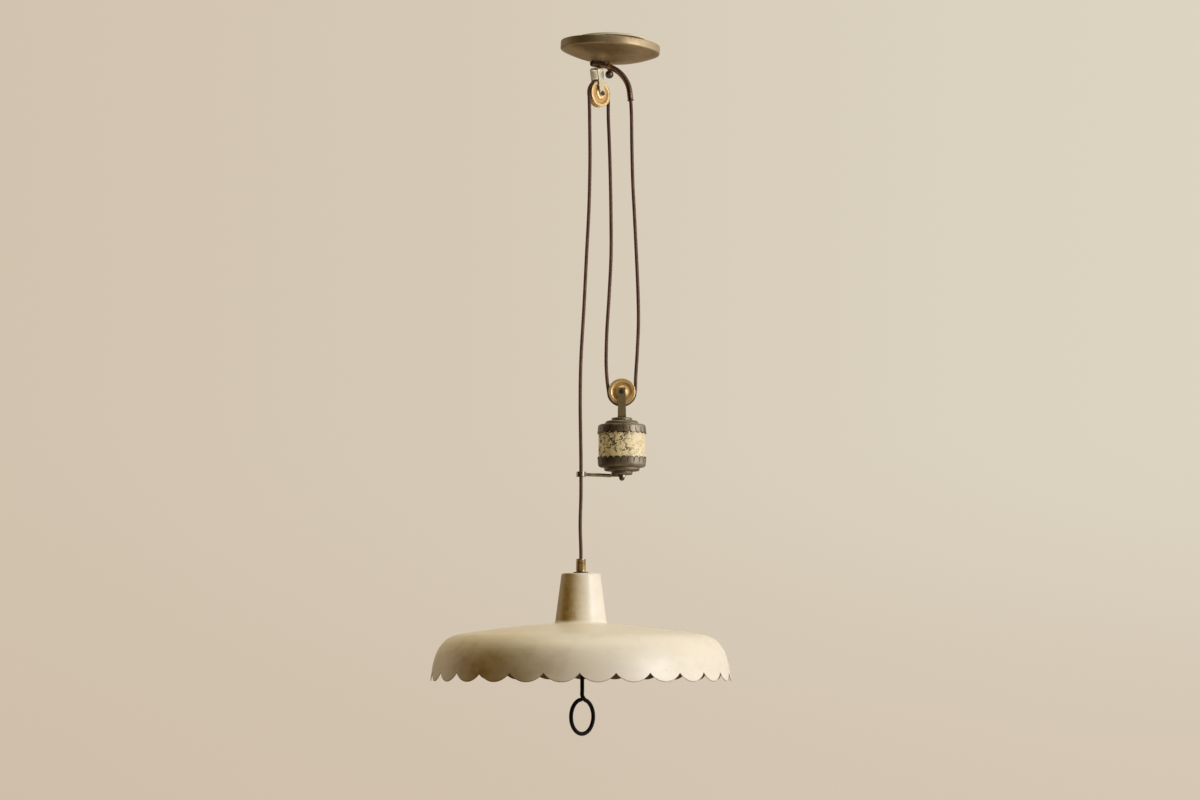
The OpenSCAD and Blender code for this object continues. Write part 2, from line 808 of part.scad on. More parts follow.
guide_bush_wall = 1.2;
guide_hole_r = cord_r + 0.5;
guide_bush_r = guide_hole_r + guide_bush_wall;
guide_hub_r = 6;
lamp_axis = [lamp_x, lamp_y];
guide_reach = norm(lamp_axis - [weight_x, weight_y]);
guide_turn = atan2(lamp_y - weight_y, lamp_x - weight_x);

// At the guide arm's level on the weight's axis, with +X towards the eye
module on_guide() {
    on_weight() translate([0, 0, guide_z]) rotate([0, 0, guide_turn]) children();
}

// At the foot of the eye
module on_eye() {
    translate([guide_reach, 0, guide_rise - guide_eye_h / 2]) children();
}

// The rod starts with a flat root that lies under the counterweight's foot
module guide_arm() {
    root = foot_r + 1;
    root_w = 3.2;
    tilt = atan2(guide_rise, guide_reach - root);
    rod_l = norm([guide_reach - root, guide_rise]) - guide_bush_r - 1;
    color(bronze) on_guide() difference() {
        union() {
            translate([0, 0, -hub_h / 2]) cylinder(r = guide_hub_r, h = hub_h);
            translate([0, -root_w / 2, -hub_h / 2]) cube([root + over, root_w, hub_h]);
            translate([root, 0, 0]) rotate([0, 90 - tilt, 0])
                cylinder(d = guide_rod_d, h = rod_l);
            on_eye() cylinder(d = guide_eye_d, h = guide_eye_h);
        }
        translate([0, 0, -guide_eye_h]) cylinder(r = tie_r + fit, h = 2 * guide_eye_h);
        on_eye() translate([0, 0, -over])
            cylinder(r = guide_bush_r + fit, h = guide_eye_h + 2 * over);
    }
}

module guide_bush() {
    color(brass) on_guide() on_eye() ring(guide_bush_r, guide_hole_r, guide_eye_h);
}

// ---- Lamp, drawn from the top of the cord grip down ----

grip_r = grip_d / 2;
lamp_tube_r = lamp_tube_d / 2;
lamp_tube_bore = lamp_tube_r - 1.6;
tube_in_grip = 9;
neck_top = -grip_h - washer_t;
shade_top = neck_top - neck_h;         // where the neck stands on the shade
rim_z = shade_top - shade_h;
seat_r = 42;                           // flat top of the shade round the lamp tube
sheet_r = 5.2;                         // the lamp tube's hole in the sheet pieces
shade_washer_r = 30;
shade_washer_t = 1.5;
shade_nut_flats = 17;
shade_nut_h = 5;
hub_top = shade_top - shade_t - shade_washer_t - shade_nut_h - 7;
hub_outer_r = 17;
hub_height = 42;
tube_in_hub = 7;
tube_low = hub_top - tube_in_hub;
socket_z = hub_top - hub_height / 2;   // the height of the two lampholders' axis
socket_x = 20;                         // from the lamp's axis to a holder's back
holder_l = 47;
holder_back_r = 11;
holder_back_flare = 3;
holder_r = 19.5;
thread_r = 13.2;                       // of the bulb's screw base
socket_depth = 27;
bulb_r = 22.5;
bulb_l = 78;
bulb_base_l = 25;
bulb_wall = 0.8;

module on_lamp() {
    translate([lamp_x, lamp_y, -lamp_drop]) children();
}

module cord_grip() {
    color(brass) on_lamp() translate([0, 0, -grip_h]) difference() {
        cylinder(r = grip_r, h = grip_h);
        translate([0, 0, -over]) cylinder(r = cord_r + fit, h = grip_h + 2 * over);
        translate([0, 0, -over]) cylinder(r = lamp_tube_r + fit, h = tube_in_grip + over);
        grip_screw_hole(fit);
    }
}

grip_screw_z = 14.5;                   // above the grip's foot
grip_screw_r = 1.5;
grip_screw_turn = 60;

// The cross hole, its screw bearing on the cord
module grip_screw_hole(wider) {
    rotate([0, 0, grip_screw_turn]) translate([cord_r + 2 * fit, 0, grip_screw_z])
        rotate([0, 90, 0]) cylinder(r = grip_screw_r + wider, h = grip_r);
}

module grip_screw() {
    color(steel) on_lamp() translate([0, 0, -grip_h]) intersection() {
        grip_screw_hole(0);
        cylinder(r = grip_r - 0.6, h = grip_h);
    }
}

module grip_washer() {
    color(black) on_lamp() translate([0, 0, neck_top]) ring(washer_d / 2, sheet_r, washer_t);
}

module lamp_tube() {
    top = -grip_h + tube_in_grip - fit;
    color(brass) on_lamp() translate([0, 0, tube_low])
        ring(lamp_tube_r, lamp_tube_bore, top - tube_low);
}

// Section of the neck cover from its foot to its top, moved inwards by depth
neck_edge_r = 3.5;
neck_flare_z = 6;
function neck_outline(depth) = concat(
    [for (t = [0 : 0.2 : 1]) [
        neck_foot_r - depth + (neck_low_r - neck_foot_r) * sin(90 * t),
        neck_flare_z * (1 - cos(90 * t))
    ]],
    [for (a = [8 : 16.4 : 90]) [
        neck_top_r - neck_edge_r + (neck_edge_r - depth) * cos(a),
        neck_h - neck_edge_r + (neck_edge_r - depth) * sin(a)
    ]]
);

module neck_cover() {
    color(cream) on_lamp() translate([0, 0, shade_top]) rotate_extrude() polygon(concat(
        neck_outline(0), [[sheet_r, neck_h], [sheet_r, neck_h - shade_t]],
        backwards(neck_outline(shade_t))
    ));
}

// Section of the shade: a straight skirt, a round shoulder and a nearly flat dome
shade_r = shade_d / 2;
skirt_h = 14;
skirt_draw = 2;
shoulder_w = 42;
dome_rise = 16;
dome_slope = 0.17;
skirt_end = [shade_r - skirt_draw, skirt_h];
dome_start = [shade_r - shoulder_w, shade_h - dome_rise];
dome_end = [seat_r, shade_h];
rim_turn = -90;                        // of one notch of the rim, from the +X side
high_pull_w = 30;       // the Bezier pulls of the shoulder and of the dome
dome_pull_w = 34;
low_pull = [-2.6, 20];
high_pull = [high_pull_w, -high_pull_w * dome_slope];
dome_pull = [-dome_pull_w, dome_pull_w * dome_slope];
seat_pull = [48, -3.6];
function shade_outline(depth) = concat(
    [[shade_r - depth, 0], skirt_end - [depth, 0]],
    [for (t = steps(9)) bezier_beside(
        skirt_end, skirt_end + low_pull, dome_start + high_pull, dome_start, t, depth
    )],
    [for (t = steps(6)) bezier_beside(
        dome_start, dome_start + dome_pull, dome_end + seat_pull, dome_end, t, depth
    )],
    [[sheet_r, shade_h - depth]]
);

module shade() {
    color(cream) on_lamp() translate([0, 0, rim_z])
        scalloped(rim_scallops, rim_scallop_h, shade_r, shade_r - shoulder_w / 2, rim_turn)
            rotate_extrude() polygon(concat(shade_outline(0), backwards(shade_outline(shade_t))));
}

module shade_washer() {
    color(steel) on_lamp() translate([0, 0, shade_top - shade_t - shade_washer_t])
        ring(shade_washer_r, sheet_r, shade_washer_t);
}

module shade_nut() {
    color(brass) on_lamp() translate([0, 0, shade_top - shade_t - shade_washer_t - shade_nut_h])
        hex_nut(shade_nut_flats, lamp_tube_r + fit, shade_nut_h);
}

// Hollow hub that carries both lampholders and the pull rod
module cluster_hub() {
    wall = 2;
    boss_r = 8;
    color(brass) on_lamp() translate([0, 0, hub_top - hub_height]) difference() {
        union() {
            cylinder(r = hub_outer_r, h = hub_height);
            translate([-socket_x, 0, hub_height / 2]) rotate([0, 90, 0])
                cylinder(r = boss_r, h = 2 * socket_x);
        }
        translate([0, 0, 2 * wall]) cylinder(r = hub_outer_r - wall, h = hub_height - 2 * wall - tube_in_hub);
        translate([0, 0, hub_height / 2]) cylinder(r = lamp_tube_r + fit, h = hub_height);
        translate([-2 * socket_x, 0, hub_height / 2]) rotate([0, 90, 0])
            cylinder(r = boss_r / 2, h = 4 * socket_x);
        translate([pull_x, 0, -over]) cylinder(r = pull_r + fit, h = 4 * wall);
    }
}

// Places what is drawn along +Z from a holder's back on its side of the hub
module on_socket(side) {
    on_lamp() translate([side * socket_x, 0, socket_z]) rotate([0, side * 90, 0]) children();
}

module lampholder(side) {
    back = 6;                     // depth of the tapered back
    shoulder = 4;
    step = 1.5;                   // of the skirt over the body
    skirt = 11;
    color(black) on_socket(side) difference() {
        rotate_extrude() polygon([
            [0, 0], [holder_back_r, 0], [holder_back_r + holder_back_flare, back],
            [holder_r - step, back + shoulder], [holder_r - step, holder_l - skirt - 1],
            [holder_r, holder_l - skirt], [holder_r, holder_l], [0, holder_l]
        ]);
        translate([0, 0, holder_l - socket_depth]) cylinder(r = thread_r + play, h = socket_depth + over);
        translate([0, 0, -over]) cylinder(r = 4, h = holder_l);
    }
}

module lampholder_left() {
    lampholder(-1);
}

module lampholder_right() {
    lampholder(1);
}

base_z = holder_l - bulb_base_l - 0.5;  // from a holder's back to its bulb's foot

module bulb_base(side) {
    color(brass) on_socket(side) translate([0, 0, base_z]) rotate_extrude() polygon([
        [0, 0], [5, 0], [thread_r, 4], [thread_r, bulb_base_l],
        [thread_r - 0.6, bulb_base_l], [thread_r - 0.6, 5], [0, 5]
    ]);
}

module bulb_base_left() {
    bulb_base(-1);
}

module bulb_base_right() {
    bulb_base(1);
}

// Glass envelope, open at the foot that sits in its base
module bulb(side) {
    neck_r = thread_r - 0.6 - fit;
    centre = bulb_l - bulb_r;
    color(porcelain) on_socket(side) translate([0, 0, base_z]) rotate_extrude() difference() {
        bulb_2d(neck_r, bulb_r, centre, bulb_base_l - 6);
        bulb_2d(neck_r - bulb_wall, bulb_r - bulb_wall, centre, bulb_base_l - 6 - over);
    }
}

// Half of the envelope's outline: a globe and a cone that leaves it smoothly
module bulb_2d(neck_r, r, centre, foot) {
    join = 30;
    intersection() {
        union() {
            translate([0, centre]) circle(r = r);
            polygon([
                [0, foot], [neck_r, foot], [neck_r, foot + 9],
                [r * cos(join), centre - r * sin(join)], [0, centre]
            ]);
        }
        square([2 * r, 2 * bulb_l]);
    }
}

module bulb_left() {
    bulb(-1);
}

module bulb_right() {
    bulb(1);
}

// ---- Pull ring ----

pull_r = pull_wire_d / 2;
pull_nut_h = 4;
hub_low = hub_top - hub_height;
ring_mid_r = pull_ring_d / 2 - pull_r;
ring_z = rim_z - pull_drop;
ring_gap = 14;        // the open part of the ring beside the rod, in degrees

module on_pull() {
    on_lamp() translate([pull_x, 0, 0]) children();
}

module pull_nut() {
    color(steel) on_pull() translate([0, 0, hub_low - pull_nut_h])
        hex_nut(nut_flats, pull_r + fit, pull_nut_h);
}

// Rod bent at its foot into an almost closed ring
module pull_ring() {
    color(black) on_pull() {
        translate([0, 0, ring_z + ring_mid_r])
            cylinder(r = pull_r, h = hub_low + 5 - ring_z - ring_mid_r);
        translate([0, 0, ring_z]) rotate([90, 0, pull_yaw]) {
            rotate([0, 0, 90]) rotate_extrude(angle = 360 - ring_gap)
                translate([ring_mid_r, 0]) circle(r = pull_r);
            translate([0, ring_mid_r, 0]) sphere(r = pull_r);
        }
    }
}

// ---- Cord ----

cord_sides = 10;
joint_gap = 0.1;      // between two lengths of cord that belong to different pieces
mouth_gap = 0.35;     // between the two at the arm's mouth, which isn't quite upright

function unit(v) = v / norm(v);
function heading(p, i) =
    unit(p[min(i + 1, len(p) - 1)] - p[max(i - 1, 0)]);

// The ring of points round point i of a route; an upright end is cut off level
function cord_ring(p, i, upright) =
    let (end = i == 0 || i == len(p) - 1)
    let (t = upright && end ? [0, 0, -1] : heading(p, i))
    let (u = unit(cross([0, 1, 0], t)), v = cross(t, u))
    [for (k = [0 : cord_sides - 1]) let (a = k * 360 / cord_sides)
        p[i] + cord_r * (cos(a) * u + sin(a) * v)];

// A round cord along a route that runs downwards or along X
module cord_along(p, upright = true) {
    last = len(p) - 1;
    corners = [for (i = [0 : last]) each cord_ring(p, i, upright)];
    sides = [for (i = [0 : last - 1]) for (k = [0 : cord_sides - 1])
        let (next = (k + 1) % cord_sides, low = i * cord_sides, high = low + cord_sides)
        [low + k, high + k, high + next, low + next]];
    start = [for (k = [0 : cord_sides - 1]) k];
    finish = [for (k = [cord_sides - 1 : -1 : 0]) last * cord_sides + k];
    color(cloth) polyhedron(points = corners, faces = concat([start], sides, [finish]));
}

// Half a turn of cord round a wheel, above or below its axle
module cord_wrap(above) {
    color(cloth) about_axle() rotate([0, 0, above ? 0 : 180]) rotate_extrude(angle = 180)
        translate([cord_path_r, 0]) circle(r = cord_r, $fn = 32);
}

// Where the cord leaves the pulleys
top_reach = cord_path_r * [cos(top_yaw), sin(top_yaw), 0];
down = [0, 0, -1];
lamp_side = top_centre - top_reach + joint_gap * down;
middle_side = top_centre + top_reach + joint_gap * down;
weight_reach = [cord_path_r, 0, 0];
weight_left = weight_centre - weight_reach - joint_gap * down;
weight_right = weight_centre + weight_reach - joint_gap * down;
eye_centre = weight_centre + [lamp_x - weight_x, lamp_y - weight_y, guide_z + guide_rise];
mouth = arm_mouth_end + mouth_lip * along(slope_mouth);

// Hand-laid points between those ends
supply_route = [
    [-40.8, 0, -12.5], [-35, 0, -12.5], [-29, 0, -12.6], [-25, 0, -14.9],
    [-21.4, 0, -19.2], [-17.4, 0, -25], [-13, 0, -31.1], [-8, 0, -35.8], [-3, 0, -38.6]
];
fixed_route = [
    [33.3, 0, -113.6], [33.8, 1, -154.5], [35.2, 2, -215.9], [37.7, 2.5, -266.8], [40.6, 3, -327.8],
    [43, 4, -388.7], [43.5, 4.5, -429.1], [41.9, 5, -469.5], [39.4, 6, -509.8]
];
middle_route = [
    [-1.6, 17, -113.6], [-0.1, 16, -154.5], [1.4, 15, -205.7], [2.4, 13.5, -266.8], [2.4, 12, -327.8],
    [-0.6, 10, -388.7], [-4.2, 8.5, -449.3], [-4.7, 7, -499.7]
];
guide_route = [
    [-29.9, -10.5, -113.6], [-29.3, -10.5, -185.2], [-30.8, -10, -256.7], [-34.3, -9.5, -327.8],
    [-38.3, -9, -408.9], [-42.8, -8.5, -489.6], [-43.7, -8, -550], [-42.7, -8, -630.2]
];
lamp_route = [[-42.6, -8, -690.2], [-43.6, -8, -735], [-42.6, -8, -769.9]];

module cord_supply_end() {
    in_arm = [for (slope = [24 : 12 : slope_mouth]) arm_at(slope)];
    cord_along(concat(supply_route, in_arm, [mouth]), upright = false);
}

module cord_fixed_run() {
    cord_along(concat([mouth + mouth_gap * down], fixed_route, [weight_right]));
}

module cord_middle_run() {
    cord_along(concat([middle_side], middle_route, [weight_left]));
}

module cord_guide_run() {
    cord_along(concat([lamp_side], guide_route, [eye_centre]));
}

module cord_lamp_run() {
    grip_top = [lamp_x, lamp_y, -lamp_drop];
    cord_along(concat([eye_centre + joint_gap * down], lamp_route, [grip_top - joint_gap * down]));
}

// Inside the grip and the lamp tube, down to the hub
module cord_lamp_end() {
    color(cloth) on_lamp() translate([0, 0, tube_low]) cylinder(r = cord_r, h = -tube_low);
}

module cord_over_top() {
    on_top_wheel() cord_wrap(above = true);
}

module cord_under_weight() {
    on_weight() cord_wrap(above = false);
}

// ---- One line for each piece ----

ceiling_plate();
ceiling_stud();
stud_nut();
coupling_nut();
canopy();
canopy_nut();
canopy_grommet();
cord_anchor();
anchor_clamp();
anchor_screws();
terminal_block();
arm_saddle();
ball_nut();
arm_tube();
arm_end_cap();
arm_mouth_bush();
hanger_pin();
top_yoke();
top_axle();
top_wheel();
top_wheel_bush();
weight_yoke();
weight_axle();
weight_wheel();
weight_wheel_bush();
yoke_nut();
yoke_disc();
weight_top_cap();
weight_sleeve();
weight_slug();
weight_bottom_cap();
tie_rod();
guide_arm();
guide_bush();
tie_ball_nut();
cord_grip();
grip_screw();
grip_washer();
lamp_tube();
neck_cover();
shade();
shade_washer();
shade_nut();
cluster_hub();
lampholder_left();
lampholder_right();
bulb_base_left();
bulb_base_right();
bulb_left();
bulb_right();
pull_nut();
pull_ring();
cord_supply_end();
cord_fixed_run();
cord_under_weight();
cord_middle_run();
cord_over_top();
cord_guide_run();
cord_lamp_run();
cord_lamp_end();
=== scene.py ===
import json
import math

import bpy
import numpy as np
from mathutils import Matrix, Vector


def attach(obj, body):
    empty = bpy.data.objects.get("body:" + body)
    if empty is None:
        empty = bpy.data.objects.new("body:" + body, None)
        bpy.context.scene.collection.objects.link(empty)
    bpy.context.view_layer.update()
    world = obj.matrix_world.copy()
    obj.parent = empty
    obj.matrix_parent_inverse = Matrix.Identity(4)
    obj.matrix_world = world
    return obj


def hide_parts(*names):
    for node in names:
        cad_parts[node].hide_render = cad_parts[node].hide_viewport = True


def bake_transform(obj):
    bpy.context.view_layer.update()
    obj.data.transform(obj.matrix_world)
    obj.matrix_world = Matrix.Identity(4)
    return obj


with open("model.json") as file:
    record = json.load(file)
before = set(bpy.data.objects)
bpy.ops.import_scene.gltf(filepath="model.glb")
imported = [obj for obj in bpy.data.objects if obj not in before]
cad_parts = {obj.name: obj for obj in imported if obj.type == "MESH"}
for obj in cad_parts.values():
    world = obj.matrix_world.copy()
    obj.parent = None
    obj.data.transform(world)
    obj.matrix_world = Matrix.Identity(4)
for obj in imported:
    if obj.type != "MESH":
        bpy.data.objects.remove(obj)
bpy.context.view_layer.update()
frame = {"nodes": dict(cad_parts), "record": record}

bl_info = {
    "name": "Rise and fall pendant",
    "version": (1, 0, 0),
    "blender": (4, 5, 0),
    "location": "View3D > Sidebar > Pendant",
    "description": "Makes the visible pieces and finishes of a rise and fall pendant lamp",
    "category": "Object",
}

MM = 0.001

# ---- Places, in millimetres in the row frame ----

LAMP_AXIS = (-42.5, -8.0)
GRIP_TOP = -784.0
GRIP_FOOT = -803.5
NECK_SEAT = -879.5
TUBE_LOW = -900.9
RIM_Z = -963.5
ROD_TOP = -930.9
ROD_R = 3.0
RING_R = 25.25
WEIGHT = (18.5, 6.0, -533.5)
DISC_SEAT = -577.2
TOP_CAP_SHOULDER = -582.2
LOW_CAP_SHOULDER = -647.2
TIE_BORE = 2.75
LAMP_BORE = 5.2
TOP_WHEEL = (-16.170, 3.430, -80.853)
TOP_YAW = 45.0
CANOPY_SEAT = -32.5
CANOPY_LEAN = 3.6
CANOPY_PITCH = 2.2
CORD_R = 2.6
PATH_R = 19.8
EYE = (-42.5, -8.0, -658.1)
FLOOR_Z = -2400.0


def mm(*values):
    """Millimetres to a vector in metres."""
    return Vector([value * MM for value in values])


def srgb(red, green, blue):
    """A screen colour from 0 to 255 as linear light."""
    out = []
    for part in (red, green, blue):
        share = part / 255
        out.append(share / 12.92 if share <= 0.04045 else ((share + 0.055) / 1.055) ** 2.4)
    return tuple(out)


# ---- Sizes and colours that a user would change ----


def length(name, description, default):
    """A size in metres for the panel."""
    return bpy.props.FloatProperty(
        name=name, description=description, default=default, unit="LENGTH", min=0.0, precision=5
    )


def tint(name, description, *screen):
    """A colour for the panel, from a screen colour."""
    return bpy.props.FloatVectorProperty(
        name=name, description=description, default=srgb(*screen), subtype="COLOR",
        size=3, min=0.0, max=1.0,
    )


class PendantSizes(bpy.types.PropertyGroup):
    """Sizes of the visible pieces."""

    rim_lobes: bpy.props.IntProperty(
        name="Rim lobes", description="Scallops round the shade's rim", default=27, min=3
    )
    rim_depth: length("Rim depth", "Depth of the shade's scallops", 0.013)
    cap_lobes: bpy.props.IntProperty(
        name="Cap lobes", description="Scallops round each cap of the counterweight",
        default=22, min=3,
    )
    cap_depth: length("Cap depth", "Depth of the caps' scallops", 0.0054)
    sheet: length("Sheet", "Thickness of the shade and the neck cover", 0.0009)
    cap_sheet: length("Cap sheet", "Thickness of the caps", 0.0008)
    canopy_sheet: length("Canopy sheet", "Thickness of the canopy", 0.001)
    braid_pitch: length("Braid pitch", "Length of one turn of the cord's braid", 0.0075)


class PendantColours(bpy.types.PropertyGroup):
    """Base colours of the finishes."""

    cream: tint("Cream", "Paint of the shade and the neck cover", 245, 239, 228)
    cream_aged: tint("Aged cream", "Where that paint has yellowed", 232, 214, 170)
    # Painted shade: brown for the haze on the shaded side of the shade and the neck
    painted_shade: tint("Grime", "Brown haze on the sheltered side of the paint", 152, 118, 42)
    # Painted shade: brown for the unlit inside of the shade
    lining_shade: tint("Lining", "Browned inside of the shade", 112, 84, 52)
    enamel: tint("Enamel", "Enamel of the counterweight's sleeve", 250, 235, 198)
    enamel_aged: tint("Aged enamel", "Where the enamel has yellowed", 253, 233, 176)
    chip: tint("Chip", "Bare metal under chipped paint", 40, 28, 17)
    bronze: tint("Bronze", "Dark bronzed brass", 132, 119, 98)
    bronze_dark: tint("Dark bronze", "Grime and shelter on the bronzed brass", 86, 72, 52)
    olive: tint("Olive", "Bronzed brass that has gone grey-green", 120, 112, 94)
    canopy: tint("Canopy brass", "Aged brass of the canopy", 179, 161, 129)
    canopy_dark: tint("Canopy tarnish", "Tarnish of the canopy", 142, 122, 88)
    wheel: tint("Wheel brass", "Turned brass of the pulleys", 251, 224, 168)
    bright: tint("Bright brass", "Clean brass of the grip and the saddle", 196, 168, 118)
    cloth: tint("Cloth", "Cloth cover of the cord", 78, 46, 32)
    cloth_worn: tint("Worn cloth", "Threads of the cord that have faded", 134, 92, 70)
    black: tint("Black", "Paint of the pull ring and the washer", 12, 9, 7)


# ---- Node trees ----


class Term:
    """One output of a node tree, which sums and products turn into Math nodes."""

    def __init__(self, graph, socket):
        self.graph = graph
        self.socket = socket

    def math(self, operation, *others):
        return self.graph.math(operation, self, *others)

    def twin(self, name):
        """Another output of the same node."""
        return Term(self.graph, self.socket.node.outputs[name])

    def __add__(self, other):
        return self.math("ADD", other)

    def __sub__(self, other):
        return self.math("SUBTRACT", other)

    def __rsub__(self, other):
        return self.graph.math("SUBTRACT", other, self)

    def __mul__(self, other):
        return self.math("MULTIPLY", other)

    def __truediv__(self, other):
        return self.math("DIVIDE", other)

    def __rtruediv__(self, other):
        return self.graph.math("DIVIDE", other, self)

    __radd__ = __add__
    __rmul__ = __mul__

    def least(self, other):
        return self.math("MINIMUM", other)

    def most(self, other):
        return self.math("MAXIMUM", other)

    def rise(self, low, high):
        """0 below low, 1 above high and a smooth step between."""
        values = {"Value": self, "From Min": low, "From Max": high}
        return self.graph.add("ShaderNodeMapRange", values, interpolation_type="SMOOTHSTEP")

    def fall(self, low, high):
        """1 below low, 0 above high and a smooth step between."""
        return 1 - self.rise(low, high)


class Graph:
    """A shader or geometry tree that is written as expressions."""

    def __init__(self, tree):
        self.tree = tree

    def add(self, kind, values=None, output=0, **settings):
        """Adds a node: its settings are made first, then its sockets are set or linked."""
        node = self.tree.nodes.new(kind)
        for key, value in settings.items():
            setattr(node, key, value)
        for key, value in (values or {}).items():
            self.feed(node.inputs[key], value)
        return Term(self, node.outputs[output]) if node.outputs else node

    def feed(self, socket, value):
        """Links a term to a socket, or sets the socket to a value."""
        if isinstance(value, Term):
            self.tree.links.new(value.socket, socket)
        elif isinstance(value, tuple) and socket.type == "RGBA" and len(value) == 3:
            socket.default_value = (*value, 1.0)
        else:
            socket.default_value = value

    def math(self, operation, *inputs):
        return self.add("ShaderNodeMath", dict(enumerate(inputs)), operation=operation)

    def combine(self, x, y, z):
        return self.add("ShaderNodeCombineXYZ", {"X": x, "Y": y, "Z": z})

    def split(self, vector):
        """The three parts of a vector."""
        x = self.add("ShaderNodeSeparateXYZ", {"Vector": vector}, "X")
        return x, x.twin("Y"), x.twin("Z")

    def blend(self, factor, first, second):
        """First colour at 0, second colour at 1."""
        values = {0: factor, 6: first, 7: second}
        return self.add("ShaderNodeMix", values, 2, data_type="RGBA", clamp_factor=True)


class Finish(Graph):
    """A material whose surface is written as expressions."""

    def __init__(self, name):
        self.material = bpy.data.materials.new(name)
        self.material.use_nodes = True
        super().__init__(self.material.node_tree)
        self.surface = self.tree.nodes["Principled BSDF"]

    def place(self, centre=(0, 0, 0), stretch=(1, 1, 1)):
        """Object coordinates from a centre in millimetres, each axis stretched."""
        spot = self.add("ShaderNodeTexCoord", output="Object")
        offset = tuple(-c * MM * s for c, s in zip(centre, stretch))
        values = {"Vector": spot, "Location": offset, "Scale": stretch}
        return self.add("ShaderNodeMapping", values, vector_type="POINT")

    def reading(self, name):
        """A number that the piece's mesh carries."""
        return self.add("ShaderNodeAttribute", output="Fac", attribute_name=name)

    def noise(self, vector, scale, detail, roughness=0.55, distortion=0.0):
        values = {
            "Vector": vector, "Scale": scale, "Detail": detail, "Roughness": roughness,
            "Distortion": distortion,
        }
        return self.add("ShaderNodeTexNoise", values)

    def cells(self, vector, scale, feature="F1", output="Distance"):
        values = {"Vector": vector, "Scale": scale}
        return self.add("ShaderNodeTexVoronoi", values, output, feature=feature)

    def wear(self, colour, rough, relief=None, **others):
        """Sets or links the surface's sockets. The relief is its height, distance and
        strength, and others are sockets named with underscores for spaces."""
        if relief:
            values = dict(zip(("Height", "Distance", "Strength"), relief))
            others["Normal"] = self.add("ShaderNodeBump", values)
        for key, value in {"Base_Color": colour, "Roughness": rough, **others}.items():
            self.feed(self.surface.inputs[key.replace("_", " ")], value)
        return self.material


# ---- Finishes ----


def cream_paint(tints):
    """Aged cream paint on spun sheet, with painted shade: brown haze on one side, and a browned
    inside.
    """
    finish = Finish("aged_cream_paint")
    centre = (*LAMP_AXIS, RIM_Z)
    here = finish.place(centre)
    across, _, height = finish.split(here)
    broad = finish.noise(here, 9, 4)
    spun = finish.noise(finish.place(centre, (5, 5, 150)), 1.0, 4, 0.6)
    mottle = finish.noise(finish.place(centre, (40, 40, 60)), 1.0, 4)
    fine = finish.noise(here, 160, 4)
    # Painted shade: a mask for the side away from the key lamp, eased at the far edge as painted
    # bounce light
    shadowed = across.fall(-0.17, 0.03) * (across.rise(-0.208, -0.176) * 0.4 + 0.6)
    low = height.fall(0.03, 0.07)
    neck = height.rise(0.084, 0.09)
    shaded = across.fall(-0.02, 0.018) * neck
    cloudy = broad.rise(0.4, 0.78) * 0.45 + spun.rise(0.42, 0.8) * 0.3
    # Yellowing in random clouds, plus a painted warm shade on the shaded side of the shade and on the
    # neck
    yellowed = cloudy * (shadowed * 0.65 + 0.35) + across.fall(-0.17, 0.06) * 0.5 + shaded * 0.7
    colour = finish.blend(yellowed, tints.cream[:], tints.cream_aged[:])
    # Painted shade: brown haze low on the shaded side of the shade and on the shaded side of the
    # neck, with faint random mottling everywhere
    shade_mask = shadowed * (low * 0.9 + 0.05) + across.fall(-0.03, 0.004) * neck * 1.15
    haze = (mottle.rise(0.3, 0.75) * 0.18 + 0.82) * shade_mask + mottle.rise(0.45, 0.7) * 0.07
    haze = haze + fine.rise(0.5, 0.68) * shaded * 0.2
    colour = finish.blend(haze, colour, tints.painted_shade[:])
    chosen = finish.split(finish.cells(here, 58, output="Color"))[0].fall(0.1, 0.11)
    spots = finish.cells(here, 58).fall(0.025, 0.05) * chosen
    ragged = finish.reading("above_rim") + fine * 0.0009
    edge = ragged.fall(0.0006, 0.0013) * (shadowed * 0.9 + 0.05)
    colour = finish.blend((spots * 0.85).most(edge), colour, srgb(112, 70, 42))
    # Painted shade on the shade's inner wall
    colour = finish.blend(finish.reading("inner") * 0.95, colour, tints.lining_shade[:])
    rough = 0.3 + fine * 0.1 + broad * 0.08 + edge * 0.2
    relief = spun * 0.35 + fine * 0.12 - spots.most(edge) * 0.4
    return finish.wear(colour, rough, (relief, 0.0003, 0.3))


def crazed_enamel(tints):
    """Thick cream enamel, yellowed on one side, with fine cracks and dark chips and scratches."""
    finish = Finish("crazed_cream_enamel")
    here = finish.place(WEIGHT)
    across = finish.split(here)[0]
    coarse = finish.cells(here, 105, "DISTANCE_TO_EDGE")
    fine = finish.cells(here, 330, "DISTANCE_TO_EDGE")
    cracks = coarse.fall(0.01, 0.04).most(fine.fall(0.01, 0.05) * 0.45)
    near = across.fall(0.002, 0.022)
    patch = finish.noise(here, 120, 4, 0.62, 0.6)
    cluster = finish.noise(here, 34, 3).rise(0.36, 0.5)
    chips = patch.rise(0.55, 0.57) * cluster * (near * 0.9 + 0.1)
    halo = patch.rise(0.46, 0.56) * cluster
    wander = (finish.noise(here, 62, 3, 0.6, 1.2) - 0.5).math("ABSOLUTE")
    scratches = wander.fall(0.03, 0.038) * patch.rise(0.495, 0.52) * near
    spread = finish.noise(here, 45, 3, 0.6, 0.4).rise(0.46, 0.56)
    specks = finish.cells(here, 200).fall(0.16, 0.28) * spread
    cloud = finish.noise(here, 22, 3)
    aged = across.fall(-0.02, 0.03) * 0.5 + cloud.rise(0.35, 0.7) * 0.35
    colour = finish.blend(aged, tints.enamel[:], tints.enamel_aged[:])
    colour = finish.blend(cracks * 0.3, colour, srgb(150, 118, 72))
    colour = finish.blend(halo * 0.15, colour, srgb(176, 140, 84))
    dark = (chips * 0.95).most(specks * 0.6).most(scratches)
    colour = finish.blend(dark, colour, tints.chip[:])
    rough = 0.4 + cloud * 0.12 + dark * 0.3
    relief = cloud * 0.15 - cracks * 0.25 - dark * 0.8
    return finish.wear(
        colour, rough, (relief, 0.0004, 0.5), Coat_Weight=0.06 - dark * 0.05, Coat_Roughness=0.12
    )


